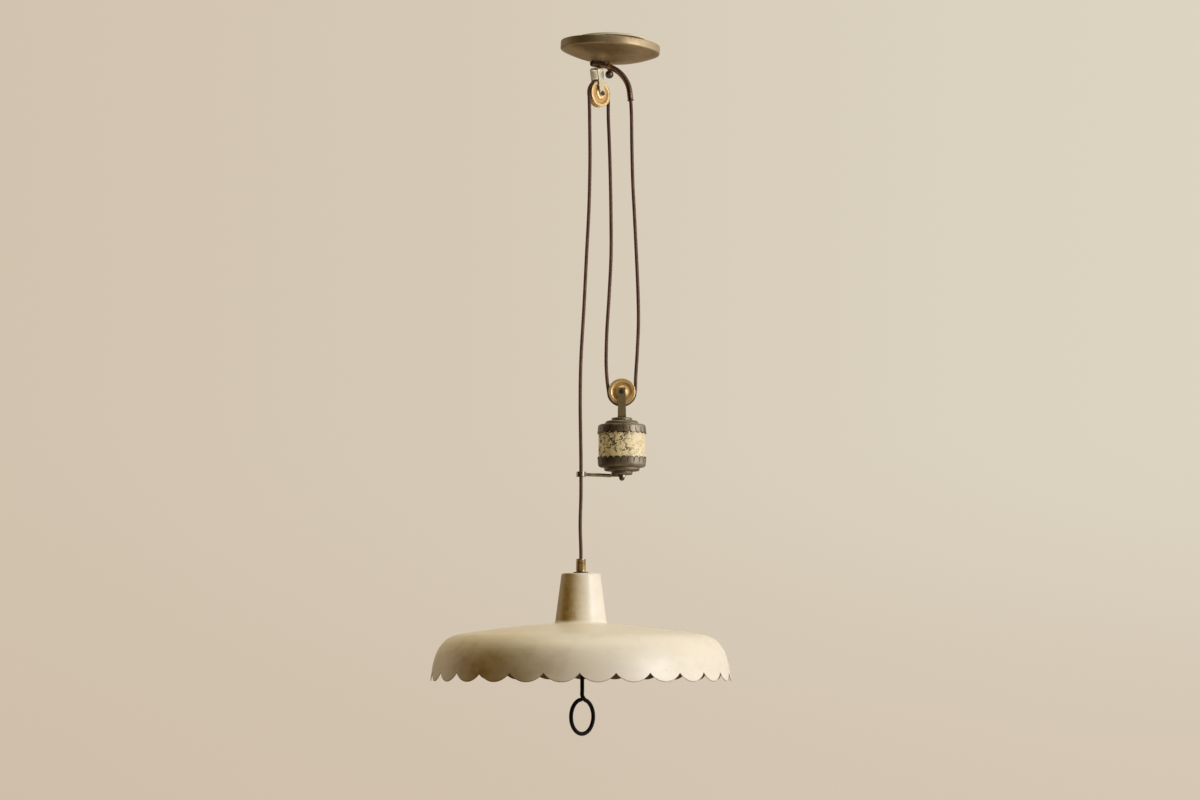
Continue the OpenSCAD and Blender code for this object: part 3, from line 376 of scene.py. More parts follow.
def dark_bronze(tints):
    """Bronzed brass of the nuts and axles, nearly black, faintly rubbed."""
    finish = Finish("dark_bronze")
    here = finish.place()
    broad = finish.noise(here, 90, 4)
    fine = finish.noise(here, 420, 3)
    colour = finish.blend(broad.rise(0.35, 0.7), srgb(104, 93, 78), srgb(58, 47, 35))
    colour = finish.blend(fine.rise(0.55, 0.8) * 0.3, colour, tints.olive[:])
    rough = 0.28 + broad * 0.16 + fine * 0.08
    return finish.wear(colour, rough, (broad * 0.5 + fine * 0.2, 0.0002, 0.4), Metallic=0.85)


def petal_bronze(tints):
    """Bronze of the counterweight's caps: dark petals with black gaps, grey-green steps, painted
    shade on one side and a painted highlight on the other.
    """
    finish = Finish("petal_bronze")
    here = finish.place(WEIGHT)
    broad = finish.noise(here, 34, 4)
    fine = finish.noise(here, 380, 3)
    above = finish.reading("above_rim")
    shaped = finish.reading("shaped")
    petals = shaped * above.fall(0.0146, 0.0172)
    gaps = finish.reading("lobe").fall(0.05, 0.22) * above.fall(0.006, 0.0125) * shaped
    edge = above.fall(0.0004, 0.0014) * shaped
    metal = finish.blend(broad.rise(0.36, 0.68), tints.bronze[:], tints.bronze_dark[:])
    step = finish.blend(broad.rise(0.4, 0.75) * 0.7, tints.olive[:], tints.bronze[:])
    colour = finish.blend(petals, step, metal)
    across = finish.split(here)[0]
    # Painted shade: darker bronze on one side of the caps
    colour = finish.blend(across.fall(-0.02, 0.008) * 0.55, colour, srgb(52, 40, 24))
    # Painted highlight: a pale band on the petals on the other side
    painted_highlight = across.rise(0.01, 0.022) * across.fall(0.03, 0.037) * petals
    colour = finish.blend(painted_highlight * 0.28, colour, srgb(206, 202, 192))
    colour = finish.blend((gaps * 0.92).most(edge * 0.85), colour, srgb(18, 12, 7))
    rough = 0.38 + broad * 0.1 + fine * 0.08 + gaps * 0.3
    relief = broad * 0.2 + fine * 0.12 - gaps * 0.7
    return finish.wear(colour, rough, (relief, 0.0004, 0.5), Metallic=0.55 - gaps * 0.5)


def aged_brass(name, colour, dark, centre, rough, lacquer=0.0):
    """Satin brass with brown tarnish in clouds and small spots."""
    finish = Finish(name)
    here = finish.place(centre)
    broad = finish.noise(here, 26, 5, 0.6, 0.3)
    fine = finish.noise(here, 260, 4)
    spots = finish.cells(here, 210).fall(0.05, 0.16) * broad.rise(0.5, 0.62)
    tarnish = (broad * 0.75 + fine * 0.25).rise(0.42, 0.66)
    shade = finish.blend(tarnish * 0.75, colour, dark)
    shade = finish.blend(spots * 0.6, shade, srgb(46, 32, 18))
    return finish.wear(
        shade, rough + tarnish * 0.16 + spots * 0.2, (broad * 0.3 + fine * 0.2, 0.0001, 0.3),
        Metallic=0.95, Coat_Weight=lacquer, Coat_Roughness=0.14,
    )


def canopy_brass(tints):
    """Spun brass of the canopy: rings from spinning, tarnish, a painted shadow in the bowl, and
    painted shade and a painted highlight on the rim.
    """
    finish = Finish("canopy_brass")
    here = finish.place((0, 0, CANOPY_SEAT))
    radius = finish.reading("radius")
    height = finish.reading("above_rim")
    rings = finish.noise(finish.combine(radius * 620, 0.0, height * 620), 1.0, 3)
    broad = finish.noise(here, 22, 5, 0.6, 0.4)
    fine = finish.noise(here, 300, 3)
    tarnish = (broad * 0.8 + fine * 0.2).rise(0.4, 0.66)
    colour = finish.blend(tarnish * 0.7, tints.canopy[:], tints.canopy_dark[:])
    across, away, _ = finish.split(here)
    # Painted shadow: a dark patch in the front of the bowl
    painted_shadow = away.fall(-0.055, -0.03) * across.fall(0.0, 0.05) * radius.fall(0.0715, 0.0725)
    colour = finish.blend(painted_shadow * 0.6, colour, srgb(84, 58, 28))
    band = radius.rise(0.0732, 0.0739)
    # Painted shade on the rim band's left side
    colour = finish.blend(band * across.fall(-0.045, -0.005) * 0.65, colour, srgb(86, 64, 34))
    # Painted highlight on the rim band's right side
    colour = finish.blend(band * across.rise(0.03, 0.055) * 0.45, colour, srgb(208, 190, 166))
    rough = 0.44 + tarnish * 0.12 + fine * 0.08
    return finish.wear(colour, rough, (rings * 0.5 + fine * 0.2, 0.00012, 0.35), Metallic=0.75)


def turned_brass(name, tints, centre):
    """Golden lathe-turned brass: fine rings, and painted shade in the dished faces and the groove."""
    finish = Finish(name)
    here = finish.place(centre)
    radius = finish.reading("radius")
    side = finish.reading("above_rim")
    rings = finish.noise(finish.combine(radius * 2600, 0.0, side * 900), 1.0, 2)
    broad = finish.noise(here, 90, 3)
    dished = radius.rise(0.0078, 0.0096) * radius.fall(0.0136, 0.0154)
    groove = radius.rise(0.0159, 0.0166) * radius.fall(0.0196, 0.0203)
    colour = finish.blend(broad.rise(0.4, 0.7) * 0.4, tints.wheel[:], srgb(214, 176, 118))
    # Painted shade in the dished faces and in the cord's groove
    colour = finish.blend(dished * 0.65, colour, srgb(176, 118, 48))
    colour = finish.blend(groove * 0.25, colour, srgb(92, 62, 30))
    rough = 0.4 + broad * 0.14 + dished * 0.15
    return finish.wear(colour, rough, (rings * 0.6 + broad * 0.2, 0.00008, 0.4), Metallic=0.65)


def black_paint(tints):
    """Black stoving paint with a slight orange peel, worn through in specks."""
    finish = Finish("black_paint")
    here = finish.place((*LAMP_AXIS, -990.0))
    peel = finish.noise(here, 700, 2)
    broad = finish.noise(here, 60, 4)
    specks = finish.noise(here, 260, 4, 0.7).rise(0.7, 0.74)
    colour = finish.blend(broad * 0.4, tints.black[:], srgb(18, 13, 10))
    colour = finish.blend(specks * 0.15, colour, srgb(70, 54, 38))
    rough = 0.42 + broad * 0.15 + specks * 0.2
    relief = peel * 0.3 - specks * 0.5
    return finish.wear(colour, rough, (relief, 0.00012, 0.4), Specular_IOR_Level=0.14)


def braided_cloth(tints, pitch):
    """A braided cloth cover: crossing threads that follow the cord, faded here and there."""
    finish = Finish("braided_cloth")
    around, along, _ = finish.split(finish.add("ShaderNodeUVMap", output="UV", uv_map="run"))
    turns = along / pitch
    strands = 8.0
    right = ((around * strands + turns * 4) * math.tau).math("SINE")
    left = ((around * strands - turns * 4) * math.tau).math("SINE")
    weave = right.most(left)
    under = (right * left).rise(-0.2, 0.5)
    here = finish.place()
    fade = finish.noise(here, 60, 4)
    fuzz = finish.noise(here, 1500, 3, 0.7)
    worn = fade.rise(0.4, 0.7) * 0.35 + weave.rise(0.3, 1.0) * 0.2
    colour = finish.blend(worn, tints.cloth[:], tints.cloth_worn[:])
    # Painted shade where the threads cross under one another
    colour = finish.blend(under * 0.25, colour, srgb(62, 40, 30))
    return finish.wear(colour, 0.42 + fuzz * 0.2, (weave * 0.5 + fuzz * 0.3, 0.0002, 0.4))


def plain_metal(name, colour, dark, rough, scale=70, metallic=1.0):
    """Steel or iron: cloudy, faintly scratched."""
    finish = Finish(name)
    here = finish.place()
    broad = finish.noise(here, scale, 4)
    scratch = finish.noise(finish.place(stretch=(900, 900, 60)), 1.0, 2)
    shade = finish.blend(broad.rise(0.35, 0.7), colour, dark)
    relief = scratch * 0.3 + broad * 0.3
    return finish.wear(shade, rough + broad * 0.15, (relief, 0.0001, 0.35), Metallic=metallic)


def moulded(name, colour, light, rough, grain=900):
    """Moulded plastic, rubber or glazed porcelain: a fine grain and slight mottling."""
    finish = Finish(name)
    here = finish.place()
    broad = finish.noise(here, 80, 3)
    fine = finish.noise(here, grain, 2)
    shade = finish.blend(broad.rise(0.35, 0.75) * 0.6, colour, light)
    return finish.wear(shade, rough + fine * 0.12, (fine * 0.4 + broad * 0.2, 0.00008, 0.3))


def frosted_bulb():
    """Bulb glass, frosted white inside."""
    finish = Finish("frosted_bulb")
    here = finish.place()
    cloud = finish.noise(here, 40, 3)
    colour = finish.blend(cloud.rise(0.3, 0.8), srgb(240, 236, 226), srgb(228, 220, 204))
    return finish.wear(
        colour, 0.12 + cloud * 0.08, (cloud, 0.0001, 0.2), Coat_Weight=0.4 + cloud * 0.1,
        Coat_Roughness=0.08,
    )


# ---- Turned and spun pieces ----


def turned_tree():
    """The rule of every turned piece: a closed section swept round Z, its rim cut in lobes."""
    tree = bpy.data.node_groups.new("turned_with_lobes", "GeometryNodeTree")
    face = tree.interface
    kinds = {"Section": "Geometry", "Around": "Int", "Lobes": "Int", "Finish": "Material"}
    for name in ("Section", "Around", "Lobes", "Depth", "Edge", "Reach", "Draw", "Turn", "Finish"):
        kind = "NodeSocket" + kinds.get(name, "Float")
        face.new_socket(name, in_out="INPUT", socket_type=kind)
    face.new_socket("Piece", in_out="OUTPUT", socket_type="NodeSocketGeometry")
    graph = Graph(tree)
    given = tree.nodes.new("NodeGroupInput")
    ask = {socket.name: Term(graph, socket) for socket in given.outputs if socket.name}

    count = graph.add("GeometryNodeAttributeDomainSize", {"Geometry": ask["Section"]},
                      "Point Count", component="MESH")
    mesh = graph.add("GeometryNodeMeshGrid", {
        "Size X": 1.0, "Size Y": 1.0, "Vertices X": ask["Around"] + 1, "Vertices Y": count + 1,
    })
    spot = graph.add("GeometryNodeInputPosition")
    u, v, _ = graph.split(spot)
    turn = u + 0.5
    step = ((v + 0.5) * count).math("ROUND")
    sample = graph.add(
        "GeometryNodeSampleIndex",
        {"Geometry": ask["Section"], "Value": spot, "Index": step.math("MODULO", count)},
        data_type="FLOAT_VECTOR", domain="POINT",
    )
    radius, _, height = graph.split(sample)
    lobes = ask["Lobes"].most(1)
    phase = (turn * lobes).math("FRACT")
    from_cusp = phase.least(1 - phase)
    angle = from_cusp * math.tau / lobes
    depth = ask["Depth"].most(1e-7)
    half_chord = ask["Edge"] * (math.pi / lobes).math("SINE")
    lobe_r = (depth * depth + half_chord * half_chord) / (depth * 2)
    across = (half_chord - radius * angle.math("SINE")).most(0)
    edge = lobe_r - (lobe_r * lobe_r - across * across).most(0).math("SQRT")
    fade = (1 - height / ask["Reach"]).most(0).least(1)
    lift = edge * fade
    out = radius - lift * ask["Draw"]
    swing = ask["Turn"] + turn * math.tau
    spot = graph.combine(out * swing.math("COSINE"), out * swing.math("SINE"), height + lift)
    for name, value in (
        ("radius", radius), ("above_rim", height), ("lobe", from_cusp * 2),
        ("inner", step.math("GREATER_THAN", count * 0.5)),
        ("shaped", ask["Depth"].rise(0.0001, 0.0002)),
    ):
        mesh = graph.add(
            "GeometryNodeStoreNamedAttribute", {"Geometry": mesh, "Name": name, "Value": value},
            data_type="FLOAT", domain="POINT",
        )
    mesh = graph.add("GeometryNodeSetPosition", {"Geometry": mesh, "Position": spot})
    mesh = graph.add("GeometryNodeMergeByDistance", {"Geometry": mesh, "Distance": 2e-6})
    mesh = graph.add("GeometryNodeRealizeInstances", {"Geometry": mesh})
    mesh = graph.add("GeometryNodeSetMaterial", {"Geometry": mesh, "Material": ask["Finish"]})
    result = tree.nodes.new("NodeGroupOutput")
    graph.feed(result.inputs["Piece"], mesh)
    return tree


def settle(mesh, sharp):
    """Turns a closed mesh's faces outwards, and shades it smooth up to an angle in degrees."""
    mesh.calc_loop_triangles()
    points = np.empty(len(mesh.vertices) * 3)
    mesh.vertices.foreach_get("co", points)
    corners = np.empty(len(mesh.loop_triangles) * 3, np.int32)
    mesh.loop_triangles.foreach_get("vertices", corners)
    a, b, c = points.reshape(-1, 3)[corners.reshape(-1, 3).T]
    if np.einsum("ij,ij->", a, np.cross(b, c)) < 0:
        mesh.flip_normals()
    mesh.shade_smooth()
    mesh.set_sharp_from_angle(angle=math.radians(sharp))


def show(name, data):
    """A new object in the scene."""
    made = bpy.data.objects.new(name, data)
    bpy.context.scene.collection.objects.link(made)
    return made


def piece(name, mesh, body, slot, *nodes):
    """A finished mesh as a named piece that rides on a body and stands for its CAD nodes."""
    made = show(name, mesh)
    if body:
        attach(made, body)
    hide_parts(*nodes)
    return made


def turned(name, node, body, slot, section, finish, place, around, **inputs):
    """Turns a piece from a closed section of (radius, height) in millimetres, in a number of
    steps around, and lets it stand for a CAD node."""
    outline = bpy.data.meshes.new(name + "_section")
    points = [(r * MM, 0.0, z * MM) for r, z in section]
    outline.from_pydata(points, [(i, i + 1) for i in range(len(points) - 1)], [])
    source = show(name + "_source", outline)
    tree = bpy.data.node_groups.get("turned_with_lobes") or turned_tree()
    modifier = source.modifiers.new("Turned", "NODES")
    modifier.node_group = tree
    values = {
        "Around": around, "Lobes": 0, "Depth": 0.0, "Edge": 0.0, "Reach": 1.0, "Draw": 0.0,
        "Turn": 0.0, "Finish": finish, **inputs,
    }
    for item in tree.interface.items_tree:
        if item.in_out == "INPUT" and item.name in values:
            modifier[item.identifier] = values[item.name]
    seen = source.evaluated_get(bpy.context.evaluated_depsgraph_get())
    mesh = bpy.data.meshes.new_from_object(seen)
    source.modifiers.remove(modifier)
    bpy.data.objects.remove(source)
    bpy.data.meshes.remove(outline)
    mesh.name = name
    mesh.transform(place)
    settle(mesh, 38)
    piece(name, mesh, body, slot, node)


def rounded(corners, radius, steps):
    """A closed section whose corners are rounded off; radius is one number or one a corner."""
    out = []
    corners = np.array(corners, float)
    cuts = np.broadcast_to(radius, len(corners))
    around = zip(corners, cuts, np.roll(corners, 1, 0), np.roll(corners, -1, 0))
    for here, cut, behind, ahead in around:
        before = behind - here
        after = ahead - here
        reach = min(cut, 0.45 * np.linalg.norm(before), 0.45 * np.linalg.norm(after))
        if reach < 1e-6:
            out.append(tuple(here))
            continue
        first = here + before / np.linalg.norm(before) * reach
        last = here + after / np.linalg.norm(after) * reach
        for k in range(steps + 1):
            t = k / steps
            point = (1 - t) ** 2 * first + 2 * t * (1 - t) * here + t * t * last
            out.append(tuple(point))
    return out


def bezier(a, b, c, d, steps):
    """Points of a cubic curve after its first end."""
    a, b, c, d = (np.array(p, float) for p in (a, b, c, d))
    t = np.arange(1, steps + 1)[:, None] / steps
    curve = (1 - t) ** 3 * a + 3 * (1 - t) ** 2 * t * b + 3 * (1 - t) * t * t * c + t ** 3 * d
    return [tuple(point) for point in curve]


def arc(x, z, radius, degrees):
    """Points on a circle about (x, z), at angles that run up from level."""
    turns = [math.radians(angle) for angle in degrees]
    return [(x + radius * math.cos(turn), z + radius * math.sin(turn)) for turn in turns]


def sheet_section(outline, thickness):
    """A closed section from an outline that runs from a rim to the axis: its inside lies to
    the left, and the rim's edge is rounded."""
    points = np.array(outline, float)
    ahead = np.gradient(points, axis=0)
    ahead /= np.linalg.norm(ahead, axis=1)[:, None]
    inside = points + thickness * np.stack([-ahead[:, 1], ahead[:, 0]], axis=1)
    inside[-1, 0] = points[-1, 0]
    middle = (points[0] + inside[0]) / 2
    half = (points[0] - inside[0]) / 2
    sink = -0.32 * thickness * ahead[0]
    lip = [tuple(middle + share * half + depth * sink)
           for share, depth in ((-0.72, 0.75), (0.0, 1.0), (0.72, 0.75))]
    return [*map(tuple, points), *map(tuple, inside[::-1]), *lip]


def at(x, y, z, *turns):
    """A place in millimetres, with turns of (degrees, axis) about it."""
    place = Matrix.Translation(mm(x, y, z))
    for degrees, axis in turns:
        place = place @ Matrix.Rotation(math.radians(degrees), 4, axis)
    return place


# ---- Cords ----


def catmull(points, spacing):
    """A smooth curve through points, sampled about every spacing."""
    points = np.array(points, float)
    points = np.vstack([2 * points[0] - points[1], points, 2 * points[-1] - points[-2]])
    out = []
    for i in range(1, len(points) - 2):
        p = points[i - 1:i + 3]
        t = np.concatenate([[0], np.cumsum(np.sqrt(np.linalg.norm(np.diff(p, axis=0), axis=1)))])
        pieces = max(2, int(np.ceil(np.linalg.norm(p[2] - p[1]) / spacing)))
        for s in np.linspace(t[1], t[2], pieces, endpoint=False):
            a = [(t[k + 1] - s) / (t[k + 1] - t[k]) * p[k] + (s - t[k]) / (t[k + 1] - t[k]) * p[k + 1]
                 for k in range(3)]
            b = [(t[k + 2] - s) / (t[k + 2] - t[k]) * a[k] + (s - t[k]) / (t[k + 2] - t[k]) * a[k + 1]
                 for k in range(2)]
            out.append((t[2] - s) / (t[2] - t[1]) * b[0] + (s - t[1]) / (t[2] - t[1]) * b[1])
    out.append(points[-2])
    return np.array(out)


def tube(name, path, radius, finish, sides):
    """A round tube along a path in metres, with a UV map of turns around and metres along;
    radius is one number or one a point."""
    ahead = np.gradient(path, axis=0)
    ahead /= np.linalg.norm(ahead, axis=1)[:, None]
    side = np.cross([0.0, 1.0, 0.0], ahead[0])
    side /= np.linalg.norm(side)
    angles = np.arange(sides) * math.tau / sides
    rings = []
    for point, forward, reach in zip(path, ahead, np.broadcast_to(radius, len(path))):
        side = side - forward * np.dot(side, forward)
        side /= np.linalg.norm(side)
        up = np.cross(forward, side)
        rings.append(point + reach * (np.cos(angles)[:, None] * side + np.sin(angles)[:, None] * up))
    count = len(path)
    vertices = np.vstack([*rings, path[:1], path[-1:]])
    travelled = np.concatenate([[0], np.cumsum(np.linalg.norm(np.diff(path, axis=0), axis=1))])
    faces, runs = [], []
    for i in range(count - 1):
        for k in range(sides):
            n = (k + 1) % sides
            low, high = i * sides, (i + 1) * sides
            faces.append((low + k, low + n, high + n, high + k))
            u, w = k / sides, (k + 1) / sides
            a, b = travelled[i], travelled[i + 1]
            runs += [(u, a), (w, a), (w, b), (u, b)]
    first, last = count * sides, count * sides + 1
    for k in range(sides):
        n = (k + 1) % sides
        faces.append((n, k, first))
        runs += [(0, 0)] * 3
        end = (count - 1) * sides
        faces.append((end + k, end + n, last))
        runs += [(0, travelled[-1])] * 3
    mesh = bpy.data.meshes.new(name)
    mesh.from_pydata(vertices.tolist(), [], faces)
    layer = mesh.uv_layers.new(name="run")
    layer.data.foreach_set("uv", np.array(runs, np.float32).ravel())
    mesh.materials.append(finish)
    settle(mesh, 50)
    return mesh, float(travelled[-1])


SUPPLY = [
    (-40.8, 0, -12.5), (-35, 0, -12.5), (-29, 0, -12.6), (-25, 0, -14.9), (-21.4, 0, -19.2),
    (-17.4, 0, -25), (-13, 0, -31.1), (-8, 0, -35.8), (-3, 0, -38.6),
]
FIXED = [
    (33.3, 0, -113.6), (33.8, 1, -154.5), (35.2, 2, -215.9), (37.7, 2.5, -266.8), (40.6, 3, -327.8),
    (43, 4, -388.7), (43.5, 4.5, -429.1), (41.9, 5, -469.5), (39.4, 6, -509.8),
]
MIDDLE = [
    (-1.6, 17, -113.6), (-0.1, 16, -154.5), (1.4, 15, -205.7), (2.4, 13.5, -266.8),
    (2.4, 12, -327.8), (-0.6, 10, -388.7), (-4.2, 8.5, -449.3), (-4.7, 7, -499.7),
]
GUIDE = [
    (-29.9, -10.5, -113.6), (-29.3, -10.5, -185.2), (-30.8, -10, -256.7), (-34.3, -9.5, -327.8),
    (-38.3, -9, -408.9), (-42.8, -8.5, -489.6), (-43.7, -8, -550), (-42.7, -8, -630.2),
]
LAMP_RUN = [(-42.6, -8, -690.2), (-43.6, -8, -735), (-42.6, -8, -769.9)]
ARM_CENTRE = (-15.522, 0, -83.633)
ARM_R = 46.5
MOUTH = (32.08, 0, -91.7)


def arm_point(slope):
    """A point of the cord's path in the bent arm, from the slope in degrees that it has there."""
    turn = math.radians(slope)
    return (ARM_CENTRE[0] + ARM_R * math.sin(turn), 0, ARM_CENTRE[2] + ARM_R * math.cos(turn))


def wheel_point(centre, yaw, degrees):
    """A point of the cord's path round a wheel; 0 is level, towards the yaw."""
    turn = math.radians(degrees)
    reach = PATH_R * math.cos(turn)
    return (
        centre[0] + reach * math.cos(math.radians(yaw)),
        centre[1] + reach * math.sin(math.radians(yaw)),
        centre[2] + PATH_R * math.sin(turn),
    )


def run_share(z, fixed, moving):
    """The share of the moving end's travel at a height between a fixed end and that end."""
    return (z - fixed) / (moving - fixed)


def main_route():
    """The cord's points from the canopy to the guide eye, and each point's share of the
    counterweight's travel."""
    still = [*SUPPLY, *(arm_point(slope) for slope in range(24, 85, 12)), MOUTH]
    under = [wheel_point(WEIGHT, 0, -degrees) for degrees in range(0, 181, 20)]
    over = [wheel_point(TOP_WHEEL, TOP_YAW, degrees) for degrees in range(0, 181, 20)]
    points = [(p, 0.0) for p in still]
    points += [(p, run_share(p[2], MOUTH[2], WEIGHT[2])) for p in FIXED]
    points += [(p, 1.0) for p in under]
    points += [(p, run_share(p[2], TOP_WHEEL[2], WEIGHT[2])) for p in reversed(MIDDLE)]
    points += [(p, 0.0) for p in over]
    points += [(p, run_share(p[2], TOP_WHEEL[2], EYE[2])) for p in [*GUIDE, EYE]]
    return points


def lay_cord(name, points, slot_nodes, finish):
    """One length of cord along points of (place, share of the second body's travel)."""
    path = catmull(np.array([(*place, share / MM) for place, share in points]) * MM, 0.0022)
    route = path[:, :3]
    sides = 20
    mesh, real = tube(name, route, CORD_R * MM, finish, sides)
    cord = piece(name, mesh, None, "cloth", *slot_nodes)
    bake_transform(cord)
    return cord


# ---- Operators ----


def sizes():
    """The sizes that the panel shows."""
    return bpy.context.scene.pendant_sizes


def colours():
    """The colours that the panel shows."""
    return bpy.context.scene.pendant_colours


def seen_by(graph, glossy):
    """1 for rays from the camera or through glass, and the given share for reflections."""
    path = graph.add("ShaderNodeLightPath", output="Is Camera Ray")
    return path.most(path.twin("Is Transmission Ray")).most(path.twin("Is Glossy Ray") * glossy)


class PENDANT_OT_stage(bpy.types.Operator):
    """Makes the camera, the pale floor, the backdrop and the soft lamps"""

    bl_idname = "pendant.stage"
    bl_label = "Stage"

    def execute(self, context):
        scene = context.scene
        scene.view_settings.view_transform = "Standard"
        self.camera(scene)
        self.world(scene)
        self.floor()
        self.lamp("key", (2.56, -1.6, -0.02), (0, 0, -0.72), 1.15, 54.0, (1.0, 0.985, 0.965))
        self.lamp("sky", (-0.3, -0.5, 2.2), (0, 0, -0.8), 2.6, 42.0, (1.0, 0.9, 0.64))
        self.lamp("side", (2.9, 0.1, -0.6), (0, 0, -0.8), 1.6, 16.0, (1.0, 0.97, 0.92))
        self.lamp("back", (-2.4, 1.2, -0.4), (0, 0, -0.8), 1.6, 5.0, (1.0, 0.86, 0.62))
        return {"FINISHED"}

    @staticmethod
    def camera(scene):
        lens = bpy.data.cameras.new("camera")
        lens.lens = 80.0
        lens.sensor_width = 36.0
        lens.sensor_fit = "HORIZONTAL"
        lens.clip_start = 0.05
        lens.clip_end = 80.0
        eye = show("camera", lens)
        eye.location = (-0.0142, -3.970, -0.92446)
        eye.rotation_euler = (math.radians(95.441), 0, 0)
        scene.camera = eye

    @staticmethod
    def world(scene):
        world = bpy.data.worlds.new("room")
        world.use_nodes = True
        scene.world = world
        graph = Graph(world.node_tree)
        graph.tree.nodes.clear()
        across, away, up = graph.split(graph.add("ShaderNodeTexCoord", output="Generated"))
        top = graph.blend(across.rise(-0.3, 0.3), srgb(209, 194, 174), srgb(221, 213, 194))
        low = graph.blend(across.rise(-0.3, 0.3), srgb(207, 191, 170), srgb(213, 199, 180))
        wall = graph.blend(up.rise(-0.06, 0.09), low, top)
        front = graph.blend(across.rise(-0.7, 0.75), srgb(46, 28, 4), srgb(196, 180, 152))
        behind = away.rise(-0.2, 0.35)
        room = graph.blend(behind, front, srgb(206, 182, 138))
        lit = graph.add("ShaderNodeBackground", {"Color": room, "Strength": 0.42})
        shown = graph.add("ShaderNodeBackground", {"Color": wall, "Strength": 1.0})
        mixed = graph.add("ShaderNodeMixShader", {0: seen_by(graph, behind), 1: lit, 2: shown})
        graph.add("ShaderNodeOutputWorld", {"Surface": mixed})

    @staticmethod
    def floor():
        sides, reach = 96, 14.0
        edge = arc(0, 0, reach, [i * 360 / sides for i in range(sides)])
        points = [(x, y, FLOOR_Z * MM) for x, y in [(0, 0), *edge]]
        mesh = bpy.data.meshes.new("floor")
        mesh.from_pydata(points, [], [(0, i + 1, (i + 1) % sides + 1) for i in range(sides)])
        finish = Finish("pale_floor")
        grain = finish.noise(finish.place(), 3, 4)
        shade = finish.blend(grain * 0.3, srgb(214, 202, 184), srgb(206, 192, 172))
        glow = finish.blend(seen_by(finish, 0.25), (0.0, 0.0, 0.0), (0.5, 0.43, 0.355))
        mesh.materials.append(finish.wear(shade, 0.9, Emission_Color=glow, Emission_Strength=1.0))
        show("floor", mesh)

    @staticmethod
    def lamp(name, place, target, size, watts, colour):
        light = bpy.data.lights.new(name, "AREA")
        light.shape = "DISK"
        light.size = size
        light.energy = watts
        light.color = colour
        lamp = show(name, light)
        lamp.location = place
        aim = Vector(target) - Vector(place)
        lamp.rotation_euler = aim.to_track_quat("-Z", "Y").to_euler()


class PENDANT_OT_cords(bpy.types.Operator):
    """Lays the cloth cord from the canopy over both pulleys to the lamp"""

    bl_idname = "pendant.cords"
    bl_label = "Cord"

    def execute(self, context):
        cloth = braided_cloth(colours(), sizes().braid_pitch)
        lay_cord(
            "cord_main", main_route(),
            ("cord_supply_end", "cord_fixed_run", "cord_under_weight", "cord_middle_run",
             "cord_over_top", "cord_guide_run"),
            cloth,
        )
        grip = (*LAMP_AXIS, GRIP_TOP)
        points = [(p, run_share(p[2], EYE[2], GRIP_TOP)) for p in [EYE, *LAMP_RUN, grip]]
        points += [((*LAMP_AXIS, z), 1.0) for z in (-800, -816, -834, -852, -870, -885, TUBE_LOW)]
        lay_cord(
            "cord_lamp", points, ("cord_lamp_run", "cord_lamp_end"),
            cloth,
        )
        return {"FINISHED"}


class PENDANT_OT_shade(bpy.types.Operator):
    """Makes the scalloped shade and its neck cover"""

    bl_idname = "pendant.shade"
    bl_label = "Shade and neck cover"

    def execute(self, context):
        paint = cream_paint(colours())
        self.shade(paint, sizes())
        self.neck(paint, sizes())
        return {"FINISHED"}

    @staticmethod
    def shade(paint, size):
        rim_r, draw, skirt, crown = 222, 2, 14, 84
        outline = [(rim_r - draw * k / 8, skirt * k / 8) for k in range(9)]
        outline += bezier(outline[-1], (217.4, 34), (210, 62.9), (180, 68), 20)
        outline += bezier(outline[-1], (146, 73.78), (90, 80.4), (42, crown), 16)
        outline += [(30, crown), (16, crown), (LAMP_BORE, crown)]
        turned(
            "shade_scalloped", "shade", "lamp", "cream_shade",
            sheet_section(outline, size.sheet / MM), paint, at(*LAMP_AXIS, RIM_Z),
            size.rim_lobes * 24, Lobes=size.rim_lobes, Depth=size.rim_depth, Reach=skirt * MM,
            Draw=draw / skirt, Turn=math.radians(-90), Edge=rim_r * MM,
        )

    @staticmethod
    def neck(paint, size):
        foot_r, flare, foot, top, edge = 40.6, 3, 6, 74, 3.5
        turns = [math.radians(90 * k / 8) for k in range(9)]
        outline = [(foot_r - flare * math.sin(turn), foot * (1 - math.cos(turn))) for turn in turns]
        outline += [(foot_r - flare - 8.4 * k / 8, foot + 64.5 * k / 8) for k in range(1, 8)]
        outline += [*arc(25.7, top - edge, edge, range(8, 91, 8)), (18, top), (LAMP_BORE, top)]
        turned(
            "neck_tapered", "neck_cover", "lamp", "cream_shade",
            sheet_section(outline, size.sheet / MM), paint, at(*LAMP_AXIS, NECK_SEAT), 192,
        )


